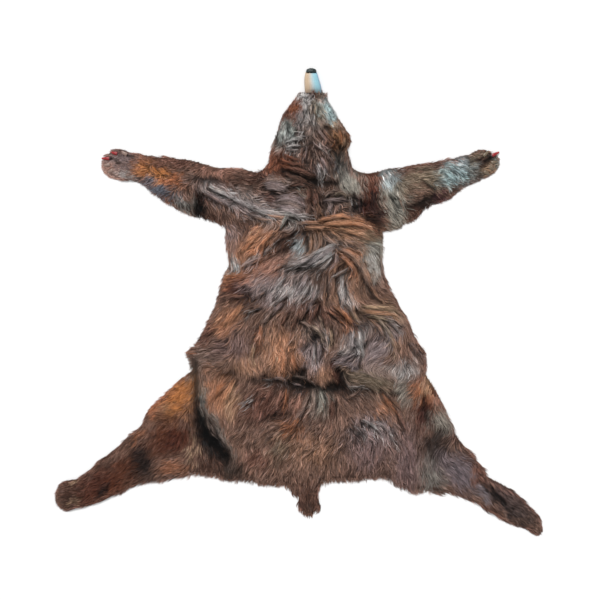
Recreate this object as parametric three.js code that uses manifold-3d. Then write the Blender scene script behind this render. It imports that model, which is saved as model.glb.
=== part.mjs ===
// Bearskin rug: a whole bear hide lying flat on the floor, fur side up.
// The snout points along +Y, the tail along -Y and the legs spread to both sides.
// Sizes are in millimetres, the floor is z = 0 and the origin is the middle of the rug.

import * as THREE from 'three';
import { mergeVertices } from 'three/addons/utils/BufferGeometryUtils.js';
import Module from 'manifold-3d';

const wasm = await Module();
wasm.setup();

// Driving dimensions of the coat
const edgeHeight = 8;
const coatHeight = 31;
const edgeSoftness = 38;
const gridPitch = 32;
const outlineStep = 30;
const rimStep = 8;
const reachX = 1020;
const reachY = 980;
const floorDrop = 20;
const blockHeight = 90;
const edgeInset = 9;

// Driving dimensions of the loose locks round the rim
const lockSpacing = 31;
const lockLength = 25;
const lockLengthSpread = 9;
const lockWidth = 34;
const lockRoot = 14;
const lockLean = 7;
const lockTipHeight = 3;
const lockFall = 50;
const lockClearOfClaw = 40;
const lockClearOfSnout = 48;
const hindToesFrom = 930;
const lengthWave = 2.4;
const leanWave = 1.7;
const lieShare = 0.9;
const leastOutward = 0.5;
const tinyWeight = 1e-9;

// Driving dimensions of the hard pieces
const gap = 0.35;
const claw = { width: 12, height: 13, rootHeight: 10, arch: 4, tipHeight: 2.2, tipSize: 0.16 };
const clawSteps = { along: 5, round: 8, taper: 1.6, droop: 1.5 };
const nosePad = { y: 928, length: 17, halfWidth: 21.5, height: 28, middleX: 51, floorClearance: 2 };
const nosePadSteps = { bands: 5, round: 16, fullness: 0.6, frontShare: 0.96 };
const nostril = { offsetX: 9, height: 17, halfWidth: 4, halfDepth: 5, halfHeight: 5.5, proud: 1 };
const snoutSteps = { round: 12, fullness: 0.7 };

// The tables are measured from a point on the spine, this far from the middle of the rug.
const spinePoint = new THREE.Vector3(-2.5, -6, 0);

// Outline of the head, from the root of the snout to the neck
const headRows = [
  { y: 857, left: -2, right: 104 },
  { y: 846, left: -9, right: 111 },
  { y: 828, left: -18, right: 118 },
  { y: 796, left: -42, right: 134 },
  { y: 764, left: -63, right: 154 },
  { y: 748, left: -71, right: 162 },
  { y: 716, left: -83, right: 186 },
  { y: 684, left: -94, right: 204 },
  { y: 660, left: -99, right: 211 },
  { y: 644, left: -102, right: 206 },
  { y: 628, left: -106, right: 200 },
  { y: 604, left: -108, right: 205 },
  { y: 580, left: -118, right: 210 },
  { y: 556, left: -130, right: 217 },
  { y: 530, left: -140, right: 222 },
  { y: 470, left: -140, right: 222 },
];

// Outline of the trunk, from the shoulders to the hips
const trunkRows = [
  { y: 552, left: -134, right: 218 },
  { y: 532, left: -170, right: 254 },
  { y: 476, left: -234, right: 294 },
  { y: 400, left: -282, right: 326 },
  { y: 332, left: -303, right: 340 },
  { y: 296, left: -297, right: 334 },
  { y: 260, left: -288, right: 330 },
  { y: 196, left: -282, right: 332 },
  { y: 132, left: -288, right: 343 },
  { y: 68, left: -307, right: 366 },
  { y: 4, left: -326, right: 394 },
  { y: -60, left: -354, right: 436 },
  { y: -124, left: -386, right: 464 },
  { y: -160, left: -406, right: 492 },
  { y: -190, left: -445, right: 504 },
  { y: -220, left: -434, right: 506 },
  { y: -264, left: -428, right: 508 },
  { y: -330, left: -388, right: 500 },
  { y: -430, left: -374, right: 500 },
  { y: -540, left: -334, right: 500 },
];

// Outline of the rump, across the rug from one thigh to the other
const rumpRows = [
  { x: -400, top: -500, bottom: -672 },
  { x: -370, top: -450, bottom: -670 },
  { x: -328, top: -400, bottom: -682 },
  { x: -286, top: -400, bottom: -692 },
  { x: -198, top: -400, bottom: -697 },
  { x: -146, top: -400, bottom: -708 },
  { x: -100, top: -400, bottom: -716 },
  { x: -58, top: -400, bottom: -713 },
  { x: -10, top: -400, bottom: -730 },
  { x: 94, top: -400, bottom: -702 },
  { x: 178, top: -400, bottom: -694 },
  { x: 250, top: -400, bottom: -694 },
  { x: 312, top: -400, bottom: -682 },
  { x: 366, top: -400, bottom: -688 },
  { x: 404, top: -400, bottom: -716 },
];

const tailRows = [
  { y: -640, left: -30, right: 90 },
  { y: -700, left: -44, right: 98 },
  { y: -732, left: -34, right: 81 },
  { y: -764, left: -5, right: 80 },
  { y: -790, left: -2, right: 88 },
  { y: -804, left: 3, right: 95 },
  { y: -818, left: 11, right: 66 },
  { y: -834, left: 24, right: 48 },
];

// Outlines of the forelegs, from the toes to the shoulder
const leftForelegRows = [
  { x: -784, top: 578, bottom: 552 },
  { x: -776, top: 598, bottom: 531 },
  { x: -750, top: 620, bottom: 508 },
  { x: -722, top: 630, bottom: 500 },
  { x: -698, top: 625, bottom: 493 },
  { x: -674, top: 614, bottom: 494 },
  { x: -650, top: 609, bottom: 496 },
  { x: -626, top: 608, bottom: 490 },
  { x: -602, top: 602, bottom: 469 },
  { x: -578, top: 597, bottom: 449 },
  { x: -530, top: 596, bottom: 412 },
  { x: -482, top: 589, bottom: 388 },
  { x: -434, top: 585, bottom: 363 },
  { x: -386, top: 571, bottom: 353 },
  { x: -338, top: 557, bottom: 336 },
  { x: -300, top: 551, bottom: 327 },
  { x: -262, top: 548, bottom: 330 },
  { x: -190, top: 541, bottom: 340 },
  { x: -120, top: 520, bottom: 350 },
];

const rightForelegRows = [
  { x: 800, top: 584, bottom: 556 },
  { x: 792, top: 598, bottom: 542 },
  { x: 776, top: 612, bottom: 525 },
  { x: 750, top: 622, bottom: 512 },
  { x: 726, top: 627, bottom: 503 },
  { x: 702, top: 619, bottom: 491 },
  { x: 678, top: 605, bottom: 481 },
  { x: 660, top: 603, bottom: 477 },
  { x: 638, top: 597, bottom: 458 },
  { x: 614, top: 588, bottom: 436 },
  { x: 590, top: 584, bottom: 422 },
  { x: 542, top: 574, bottom: 407 },
  { x: 494, top: 568, bottom: 380 },
  { x: 470, top: 566, bottom: 352 },
  { x: 446, top: 560, bottom: 334 },
  { x: 422, top: 554, bottom: 330 },
  { x: 398, top: 549, bottom: 309 },
  { x: 374, top: 552, bottom: 301 },
  { x: 350, top: 549, bottom: 300 },
  { x: 326, top: 541, bottom: 300 },
  { x: 278, top: 531, bottom: 310 },
  { x: 230, top: 541, bottom: 320 },
  { x: 170, top: 520, bottom: 330 },
];

// Outlines of the hind legs, from the toes to the hip
const leftHindRows = [
  { x: -967, top: -752, bottom: -780 },
  { x: -960, top: -730, bottom: -798 },
  { x: -944, top: -708, bottom: -814 },
  { x: -920, top: -696, bottom: -823 },
  { x: -894, top: -692, bottom: -820 },
  { x: -866, top: -682, bottom: -811 },
  { x: -826, top: -648, bottom: -796 },
  { x: -778, top: -606, bottom: -785 },
  { x: -730, top: -569, bottom: -762 },
  { x: -674, top: -520, bottom: -732 },
  { x: -626, top: -478, bottom: -712 },
  { x: -602, top: -430, bottom: -704 },
  { x: -578, top: -398, bottom: -701 },
  { x: -530, top: -355, bottom: -700 },
  { x: -482, top: -302, bottom: -690 },
  { x: -434, top: -262, bottom: -675 },
  { x: -386, top: -250, bottom: -671 },
  { x: -330, top: -250, bottom: -680 },
];

const rightHindRows = [
  { x: 972, top: -872, bottom: -898 },
  { x: 964, top: -850, bottom: -914 },
  { x: 948, top: -826, bottom: -919 },
  { x: 926, top: -802, bottom: -909 },
  { x: 904, top: -782, bottom: -893 },
  { x: 854, top: -737, bottom: -876 },
  { x: 806, top: -706, bottom: -856 },
  { x: 758, top: -683, bottom: -828 },
  { x: 710, top: -617, bottom: -790 },
  { x: 662, top: -558, bottom: -767 },
  { x: 638, top: -525, bottom: -758 },
  { x: 614, top: -480, bottom: -747 },
  { x: 590, top: -420, bottom: -744 },
  { x: 566, top: -364, bottom: -746 },
  { x: 542, top: -321, bottom: -747 },
  { x: 518, top: -284, bottom: -736 },
  { x: 494, top: -240, bottom: -736 },
  { x: 470, top: -200, bottom: -744 },
  { x: 446, top: -180, bottom: -735 },
  { x: 406, top: -180, bottom: -717 },
  { x: 366, top: -200, bottom: -689 },
];

// The bare snout: a half-round form, flat underneath
const snoutRows = [
  { y: 838, middle: 59, halfWidth: 31, height: 30 },
  { y: 858, middle: 58.5, halfWidth: 33, height: 37 },
  { y: 876, middle: 56.5, halfWidth: 32, height: 38 },
  { y: 894, middle: 53.5, halfWidth: 30, height: 36 },
  { y: 910, middle: 51.5, halfWidth: 27, height: 33 },
  { y: 921, middle: 51, halfWidth: 24.5, height: 31 },
  { y: nosePad.y - gap, middle: 51, halfWidth: 21.5, height: 29 },
];

// The ears lie back on the head as rounded lobes.
const ears = [
  { x: -30, y: 670, halfLength: 62, halfWidth: 40, top: 48, turn: 14 },
  { x: 158, y: 668, halfLength: 56, halfWidth: 43, top: 49, turn: 24 },
];

// Raised and sunken places of the coat
const swells = [
  { x: 50, y: 720, reach: 90, rise: 6 },
  { x: 30, y: 430, reach: 150, rise: 6 },
  { x: 40, y: 60, reach: 170, rise: 4 },
  { x: -60, y: -240, reach: 120, rise: 6 },
  { x: 200, y: -250, reach: 110, rise: 5 },
  { x: 60, y: -520, reach: 170, rise: 5 },
  { x: -560, y: 500, reach: 70, rise: 4 },
  { x: 520, y: 480, reach: 80, rise: 4 },
  { x: 346, y: 500, reach: 30, rise: -5 },
  { x: -560, y: -560, reach: 90, rise: 5 },
  { x: 520, y: -520, reach: 100, rise: 5 },
  { x: 316, y: 170, reach: 60, rise: -5 },
];

// Folds: a negative rise is a crease, a positive one a ridge, along the line from start to end.
const folds = [
  { startX: -230, startY: -264, endX: -46, endY: -308, width: 26, rise: -12 },
  { startX: -46, startY: -308, endX: 138, endY: -336, width: 26, rise: -12 },
  { startX: 138, startY: -336, endX: 342, endY: -344, width: 26, rise: -11 },
  { startX: -220, startY: -222, endX: 300, endY: -296, width: 24, rise: 5 },
  { startX: -438, startY: -196, endX: -398, endY: -320, width: 24, rise: -9 },
  { startX: -398, startY: -320, endX: -374, endY: -440, width: 26, rise: -13 },
  { startX: -374, startY: -440, endX: -278, endY: -628, width: 26, rise: -13 },
  { startX: -366, startY: -320, endX: -330, endY: -450, width: 26, rise: 8 },
  { startX: -330, startY: -450, endX: -244, endY: -610, width: 26, rise: 7 },
  { startX: -138, startY: -452, endX: -14, endY: -420, width: 26, rise: -8 },
  { startX: -70, startY: 136, endX: 74, endY: 160, width: 24, rise: -8 },
  { startX: -54, startY: 512, endX: 142, endY: 484, width: 26, rise: -10 },
  { startX: -30, startY: 284, endX: 38, endY: 252, width: 24, rise: -8 },
  { startX: 500, startY: -300, endX: 556, endY: -520, width: 28, rise: -8 },
];

// Tufts and hollows of the coat: waves that cross each other, each bent sideways by the other axis
const lumps = [
  { length: 310, heading: 14, rise: 3.0, phase: 0.4, bend: 60, bendLength: 420 },
  { length: 190, heading: 97, rise: 2.8, phase: 1.9, bend: 45, bendLength: 270 },
  { length: 131, heading: 61, rise: 2.2, phase: 3.1, bend: 40, bendLength: 230 },
  { length: 103, heading: 118, rise: 1.8, phase: 5.0, bend: 30, bendLength: 170 },
];

// Which way the hair lies and how long the rim's locks are, near each of these places
const lie = [
  { x: 50, y: 760, alongX: 0, alongY: -1, reach: 150, lockShare: 0.4 },
  { x: 40, y: 300, alongX: 0, alongY: -1, reach: 260, lockShare: 0.85 },
  { x: 40, y: -200, alongX: 0, alongY: -1, reach: 260, lockShare: 1 },
  { x: 40, y: -600, alongX: 0, alongY: -1, reach: 200, lockShare: 1.25 },
  { x: -620, y: 520, alongX: -0.85, alongY: -0.5, reach: 220, lockShare: 0.7 },
  { x: 620, y: 520, alongX: 0.85, alongY: -0.5, reach: 220, lockShare: 0.7 },
  { x: -680, y: -620, alongX: -0.75, alongY: -0.65, reach: 260, lockShare: 0.95 },
  { x: 700, y: -660, alongX: 0.75, alongY: -0.65, reach: 260, lockShare: 0.95 },
];

// Claws of the front paws: root point inside the toe, heading in degrees from +X, and length
const leftClaws = [
  { x: -749, y: 584, heading: 176, length: 38 },
  { x: -718, y: 602, heading: 166, length: 36 },
  { x: -685, y: 599, heading: 148, length: 34 },
  { x: -752, y: 560, heading: 186, length: 30 },
  { x: -740, y: 540, heading: 207, length: 28 },
];
const rightClaws = [
  { x: 767, y: 593, heading: 28, length: 40 },
  { x: 737, y: 594, heading: 40, length: 34 },
  { x: 769, y: 568, heading: 8, length: 30 },
  { x: 760, y: 550, heading: -22, length: 28 },
  { x: 741, y: 534, heading: -34, length: 28 },
];

const materials = {
  fur: new THREE.MeshStandardMaterial({ color: 0x6e5144, roughness: 0.85, metalness: 0 }),
  nose: new THREE.MeshStandardMaterial({ color: 0x10201f, roughness: 0.4, metalness: 0 }),
  claw: new THREE.MeshStandardMaterial({ color: 0x7a2a22, roughness: 0.35, metalness: 0 }),
};

// Solids from three.js geometries

function solidFrom(geometry) {
  const bare = geometry.clone();
  bare.deleteAttribute('normal');
  bare.deleteAttribute('uv');
  const merged = mergeVertices(bare);
  const vertProperties = new Float32Array(merged.attributes.position.array);
  const triVerts = new Uint32Array(merged.index.array);
  return new wasm.Manifold(new wasm.Mesh({ numProp: 3, vertProperties, triVerts }));
}

function geometryFrom(solid) {
  const mesh = solid.getMesh();
  const geometry = new THREE.BufferGeometry();
  geometry.setAttribute('position', new THREE.BufferAttribute(new Float32Array(mesh.vertProperties), 3));
  geometry.setIndex(new THREE.BufferAttribute(new Uint32Array(mesh.triVerts), 1));
  geometry.computeVertexNormals();
  return geometry;
}

function geometryOfFaces(points, faces) {
  const geometry = new THREE.BufferGeometry();
  geometry.setAttribute('position', new THREE.Float32BufferAttribute(points.flat(), 3));
  geometry.setIndex(faces.flat());
  return geometry;
}

// A skin over a list of rings with the same number of points, closed at both ends
function loft(rings) {
  const sides = rings[0].length;
  const faces = [];
  for (let ring = 0; ring < rings.length - 1; ring += 1) {
    for (let side = 0; side < sides; side += 1) {
      const a = ring * sides + side;
      const b = ring * sides + (side + 1) % sides;
      faces.push([a, b, b + sides], [a, b + sides, a + sides]);
    }
  }
  const last = (rings.length - 1) * sides;
  for (let side = 1; side < sides - 1; side += 1) {
    faces.push([0, side + 1, side], [last, last + side, last + side + 1]);
  }
  return geometryOfFaces(rings.flat(), faces);
}

// Outline of the hide

function smoothLine(points, step) {
  const curve = new THREE.SplineCurve(points);
  return curve.getSpacedPoints(Math.max(2, Math.round(curve.getLength() / step)));
}

// A limb's two sides, drawn in by the inset, as one closed loop
function limbLoop(rows, step) {
  const across = 'left' in rows[0];
  const sideA = rows.map((row) => (across
    ? new THREE.Vector2(row.left + edgeInset, row.y)
    : new THREE.Vector2(row.x, row.top - edgeInset)));
  const sideB = rows.map((row) => (across
    ? new THREE.Vector2(row.right - edgeInset, row.y)
    : new THREE.Vector2(row.x, row.bottom + edgeInset)));
  return [...smoothLine(sideA, step), ...smoothLine(sideB.reverse(), step)];
}

const limbs = [
  headRows, trunkRows, rumpRows, tailRows,
  leftForelegRows, rightForelegRows, leftHindRows, rightHindRows,
];

function inside(point, loop) {
  let within = false;
  loop.forEach((a, index) => {
    const b = loop[(index + 1) % loop.length];
    const crosses = (a.y > point.y) !== (b.y > point.y);
    if (crosses && point.x < (b.x - a.x) * (point.y - a.y) / (b.y - a.y) + a.x) {
      within = !within;
    }
  });
  return within;
}

const limbLoops = limbs.map((rows) => limbLoop(rows, rimStep));

// Points of the rim with their outward direction: those of each limb that lie in no other limb
function rimOfHide() {
  const rim = [];
  limbLoops.forEach((loop, own) => {
    const turnsLeft = THREE.ShapeUtils.area(loop) > 0 ? 1 : -1;
    loop.forEach((point, index) => {
      if (limbLoops.some((other, at) => at !== own && inside(point, other))) {
        return;
      }
      const before = loop[(index + loop.length - 1) % loop.length];
      const after = loop[(index + 1) % loop.length];
      const along = after.clone().sub(before).normalize();
      rim.push({ point, outward: new THREE.Vector2(along.y, -along.x).multiplyScalar(turnsLeft) });
    });
  });
  return rim;
}

// Height of the coat

function distanceToLine(x, y, fold) {
  const start = new THREE.Vector3(fold.startX, fold.startY, 0);
  const end = new THREE.Vector3(fold.endX, fold.endY, 0);
  const point = new THREE.Vector3(x, y, 0);
  return new THREE.Line3(start, end).closestPointToPoint(point, true, new THREE.Vector3()).distanceTo(point);
}

function bell(distance, reach) {
  return Math.exp(-((distance / reach) ** 2));
}

function distanceToRim(x, y, rim) {
  return Math.min(...rim.map(({ point }) => Math.hypot(point.x - x, point.y - y)));
}

function coatTop(x, y, rim) {
  const distance = distanceToRim(x, y, rim);
  if (!limbLoops.some((loop) => inside({ x, y }, loop))) {
    return Math.max(lockTipHeight, edgeHeight * (1 - distance / lockFall));
  }
  const depth = 1 - Math.exp(-distance / edgeSoftness);
  let rise = coatHeight - edgeHeight;
  for (const swell of swells) {
    rise += swell.rise * bell(Math.hypot(x - swell.x, y - swell.y), swell.reach);
  }
  for (const fold of folds) {
    rise += fold.rise * bell(distanceToLine(x, y, fold), fold.width);
  }
  for (const lump of lumps) {
    const heading = THREE.MathUtils.degToRad(lump.heading);
    const along = x * Math.cos(heading) + y * Math.sin(heading);
    const aside = y * Math.cos(heading) - x * Math.sin(heading);
    const bent = along + lump.bend * Math.sin(aside * 2 * Math.PI / lump.bendLength);
    rise += lump.rise * Math.sin(bent * 2 * Math.PI / lump.length + lump.phase);
  }
  return edgeHeight + rise * depth;
}

// A slab over the whole rug whose top is the coat, in rows of points set half a step apart
function coatSlab(rim) {
  const rowPitch = gridPitch * Math.sqrt(3) / 2;
  const columns = Math.ceil(2 * reachX / gridPitch);
  const rows = Math.ceil(2 * reachY / rowPitch);
  const top = [];
  const bottom = [];
  for (let row = 0; row <= rows; row += 1) {
    for (let column = 0; column <= columns; column += 1) {
      const x = -reachX + (column + (row % 2) / 2) * gridPitch;
      const y = -reachY + row * rowPitch;
      top.push([x, y, coatTop(x, y, rim)]);
      bottom.push([x, y, -floorDrop]);
    }
  }
  const at = (row, column) => row * (columns + 1) + column;
  const faces = [];
  const below = top.length;
  for (let row = 0; row < rows; row += 1) {
    for (let column = 0; column < columns; column += 1) {
      const a = at(row, column);
      const b = at(row, column + 1);
      const c = at(row + 1, column + 1);
      const d = at(row + 1, column);
      const pair = row % 2 ? [[a, b, c], [a, c, d]] : [[a, b, d], [b, c, d]];
      for (const [p, q, r] of pair) {
        faces.push([p, q, r], [p + below, r + below, q + below]);
      }
    }
  }
  const border = [];
  for (let column = 0; column < columns; column += 1) {
    border.push(at(0, column));
  }
  for (let row = 0; row < rows; row += 1) {
    border.push(at(row, columns));
  }
  for (let column = columns; column > 0; column -= 1) {
    border.push(at(rows, column));
  }
  for (let row = rows; row > 0; row -= 1) {
    border.push(at(row, 0));
  }
  border.forEach((a, index) => {
    const b = border[(index + 1) % border.length];
    faces.push([a, a + below, b + below], [a, b + below, b]);
  });
  return solidFrom(geometryOfFaces([...top, ...bottom], faces));
}

// Loose locks round the rim

function lieAt(point) {
  const direction = new THREE.Vector2();
  let lockShare = 0;
  let weights = 0;
  for (const row of lie) {
    const weight = bell(Math.hypot(point.x - row.x, point.y - row.y), row.reach) + tinyWeight;
    direction.add(new THREE.Vector2(row.alongX, row.alongY).multiplyScalar(weight));
    lockShare += weight * row.lockShare;
    weights += weight;
  }
  return { direction: direction.normalize(), lockShare: lockShare / weights };
}

// The plan of one lock: it tapers from its root, inside the rim, to a point that leans aside
function lockPlan(root, direction, length, lean) {
  const side = new THREE.Vector2(-direction.y, direction.x);
  const at = (along, aside) => root.clone().addScaledVector(direction, along).addScaledVector(side, aside);
  return [at(-lockRoot, -lockWidth / 2), at(length, lean), at(-lockRoot, lockWidth / 2)];
}

function rimLocks(rim) {
  const claws = [...leftClaws, ...rightClaws];
  const placed = [];
  const locks = [];
  for (const { point, outward } of rim) {
    const crowded = placed.some((other) => other.distanceTo(point) < lockSpacing);
    const nearClaw = claws.some(({ x, y }) => Math.hypot(point.x - x, point.y - y) < lockClearOfClaw);
    const fromSnout = Math.abs(point.x - snoutRows[0].middle);
    const besideSnout = point.y > snoutRows[0].y && fromSnout < lockClearOfSnout;
    const onHindToes = Math.abs(point.x) > hindToesFrom;
    if (crowded || nearClaw || besideSnout || onHindToes) {
      continue;
    }
    placed.push(point);
    const count = placed.length;
    const hair = lieAt(point);
    const length = (lockLength + lockLengthSpread * Math.sin(count * lengthWave)) * hair.lockShare;
    const direction = outward.clone().addScaledVector(hair.direction, lieShare).normalize();
    if (direction.dot(outward) < leastOutward) {
      direction.addScaledVector(outward, lieShare).normalize();
    }
    locks.push(lockPlan(point, direction, length, lockLean * Math.sin(count * leanWave)));
  }
  return locks;
}

// The plan of the hide and its locks as an upright block, taller than the coat
function planBlock(rim) {
  const plans = [...limbs.map((rows) => limbLoop(rows, outlineStep)), ...rimLocks(rim)];
  return plans
    .map((plan) => new THREE.Shape(plan))
    .map((shape) => new THREE.ExtrudeGeometry(shape, { depth: blockHeight, bevelEnabled: false }))
    .map(solidFrom)
    .reduce((whole, block) => whole.add(block));
}

// Snout, ears, nose and claws

function snoutSolid() {
  const { round, fullness } = snoutSteps;
  const rings = snoutRows.map(({ y, middle, halfWidth, height }) => {
    const ring = [];
    for (let step = 0; step <= round; step += 1) {
      const angle = Math.PI * step / round;
      ring.push([middle - halfWidth * Math.cos(angle), y, height * Math.sin(angle) ** fullness]);
    }
    return ring;
  });
  return solidFrom(loft(rings));
}

function earSolid({ x, y, halfLength, halfWidth, top, turn }) {
  const lobe = new THREE.SphereGeometry(1, 14, 8);
  lobe.scale(halfWidth, halfLength, top);
  lobe.rotateZ(THREE.MathUtils.degToRad(turn));
  lobe.translate(x, y, 0);
  return solidFrom(lobe);
}

function noseSolid() {
  const { y, length, halfWidth, height, middleX, floorClearance } = nosePad;
  const rings = [];
  const { bands, round, fullness, frontShare } = nosePadSteps;
  for (let band = 0; band <= bands; band += 1) {
    const angle = band / bands * Math.PI / 2 * frontShare;
    const wide = Math.cos(angle) ** fullness;
    const ring = [];
    for (let step = 0; step < round; step += 1) {
      const turn = -2 * Math.PI * step / round;
      const px = middleX + halfWidth * wide * Math.cos(turn);
      const pz = floorClearance + height / 2 + height / 2 * wide * Math.sin(turn);
      ring.push([px, y + length * Math.sin(angle), pz]);
    }
    rings.push(ring);
  }
  let pad = solidFrom(loft(rings));
  for (const side of [-1, 1]) {
    const pit = new THREE.SphereGeometry(1, 10, 6);
    pit.scale(nostril.halfWidth, nostril.halfDepth, nostril.halfHeight);
    pit.translate(middleX + side * nostril.offsetX, y + length - nostril.proud, nostril.height);
    pad = pad.subtract(solidFrom(pit));
  }
  return pad;
}

// A hooked claw along its heading, made larger all round by the given amount
function clawSolid({ x, y, heading, length }, larger) {
  const { along: steps, round, taper, droop } = clawSteps;
  const rings = [];
  for (let step = 0; step <= steps; step += 1) {
    const share = step / steps;
    const size = 1 - (1 - claw.tipSize) * share ** taper;
    const along = share * length + larger * (share < 0.5 ? -1 : 1);
    const height = claw.rootHeight + claw.arch * Math.sin(Math.PI * share)
      - (claw.rootHeight - claw.tipHeight) * share ** droop;
    const ring = [];
    for (let side = 0; side < round; side += 1) {
      const turn = 2 * Math.PI * side / round;
      const across = (claw.width / 2 * size + larger) * Math.cos(turn);
      const up = (claw.height / 2 * size + larger) * Math.sin(turn);
      ring.push([along, across, height + up]);
    }
    rings.push(ring);
  }
  const horn = loft(rings);
  horn.rotateZ(THREE.MathUtils.degToRad(heading));
  horn.translate(x, y, 0);
  return solidFrom(horn);
}

function peltSolid() {
  const rim = rimOfHide();
  const plan = planBlock(rim);
  let pelt = plan.intersect(coatSlab(rim));
  for (const ear of ears) {
    pelt = pelt.add(earSolid(ear).intersect(plan));
  }
  pelt = pelt.add(snoutSolid());
  for (const place of [...leftClaws, ...rightClaws]) {
    pelt = pelt.subtract(clawSolid(place, gap));
  }
  return pelt;
}

function addPiece(group, name, solid, material) {
  const mesh = new THREE.Mesh(geometryFrom(solid), material);
  mesh.name = name;
  mesh.position.copy(spinePoint);
  group.add(mesh);
}

const rug = new THREE.Group();
addPiece(rug, 'pelt', peltSolid(), materials.fur);
addPiece(rug, 'nose_pad', noseSolid(), materials.nose);
leftClaws.forEach((place, index) => {
  addPiece(rug, `claw_left_${index + 1}`, clawSolid(place, 0), materials.claw);
});
rightClaws.forEach((place, index) => {
  addPiece(rug, `claw_right_${index + 1}`, clawSolid(place, 0), materials.claw);
});

export default rug;
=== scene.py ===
import math
import bpy
import numpy as np
from mathutils.bvhtree import BVHTree
from mathutils.kdtree import KDTree
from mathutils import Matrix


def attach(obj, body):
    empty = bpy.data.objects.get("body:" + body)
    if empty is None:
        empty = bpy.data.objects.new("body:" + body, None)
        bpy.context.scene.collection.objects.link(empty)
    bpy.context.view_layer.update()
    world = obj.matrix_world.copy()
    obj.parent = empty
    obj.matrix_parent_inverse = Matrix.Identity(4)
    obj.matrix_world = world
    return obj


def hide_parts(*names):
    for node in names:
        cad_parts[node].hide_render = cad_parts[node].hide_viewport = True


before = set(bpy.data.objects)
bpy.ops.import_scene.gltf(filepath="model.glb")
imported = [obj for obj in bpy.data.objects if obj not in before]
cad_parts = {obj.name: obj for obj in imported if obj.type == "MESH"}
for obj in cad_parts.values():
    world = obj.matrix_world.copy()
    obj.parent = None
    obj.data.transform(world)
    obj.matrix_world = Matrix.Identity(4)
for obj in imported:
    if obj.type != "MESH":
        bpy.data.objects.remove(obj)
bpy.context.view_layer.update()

mm = 0.001
cm = 0.01
spine = (-0.0025, -0.006)
hairShare = 1.0


# Small helpers for colours, noise and grids

def toLinear(colour):
    return np.array([c / 12.92 if c <= 0.04045 else ((c + 0.055) / 1.055) ** 2.4 for c in colour])


def mix(first, second, share):
    return first + (second - first) * share[:, None]


def turned(x, y, turn):
    return x * np.cos(turn) - y * np.sin(turn), x * np.sin(turn) + y * np.cos(turn)


def waves(x, y, length, seed):
    # smooth uneven noise, about -2 to 2: crossing waves of nearly the same length
    crossing = 7
    draw = np.random.default_rng(seed)
    total = np.zeros_like(x)
    for _ in range(crossing):
        heading, phase = draw.uniform(0, 2 * np.pi, 2)
        turnsPerMetre = 2 * np.pi / (length * draw.uniform(0.7, 1.5))
        total += np.sin((x * np.cos(heading) + y * np.sin(heading)) * turnsPerMetre + phase)
    return total / math.sqrt(crossing / 2)


plan = {"cell": 0.004, "reachX": 1.0, "reachY": 0.964}
columns = int(2 * plan["reachX"] / plan["cell"]) + 1
rows = int(2 * plan["reachY"] / plan["cell"]) + 1
planX, planY = np.meshgrid(
    np.linspace(-plan["reachX"], plan["reachX"], columns),
    np.linspace(-plan["reachY"], plan["reachY"], rows),
)


def readPlan(grid, x, y):
    # the value between a grid's points
    across = np.clip((x + plan["reachX"]) / plan["cell"], 0, columns - 1.001)
    up = np.clip((y + plan["reachY"]) / plan["cell"], 0, rows - 1.001)
    i, j = across.astype(int), up.astype(int)
    u, v = across - i, up - j
    low = grid[j, i] * (1 - u) + grid[j, i + 1] * u
    high = grid[j + 1, i] * (1 - u) + grid[j + 1, i + 1] * u
    return low * (1 - v) + high * v


def soften(grid, times):
    for _ in range(times):
        padded = np.pad(grid, 1, mode="edge")
        beside = padded[:-2, 1:-1] + padded[2:, 1:-1] + padded[1:-1, :-2] + padded[1:-1, 2:]
        grid = beside / 8 + grid / 2
    return grid


def searchTree(x, y):
    tree = KDTree(len(x))
    for at, place in enumerate(zip(x.tolist(), y.tolist())):
        tree.insert((*place, 0), at)
    tree.balance()
    return tree


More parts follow.
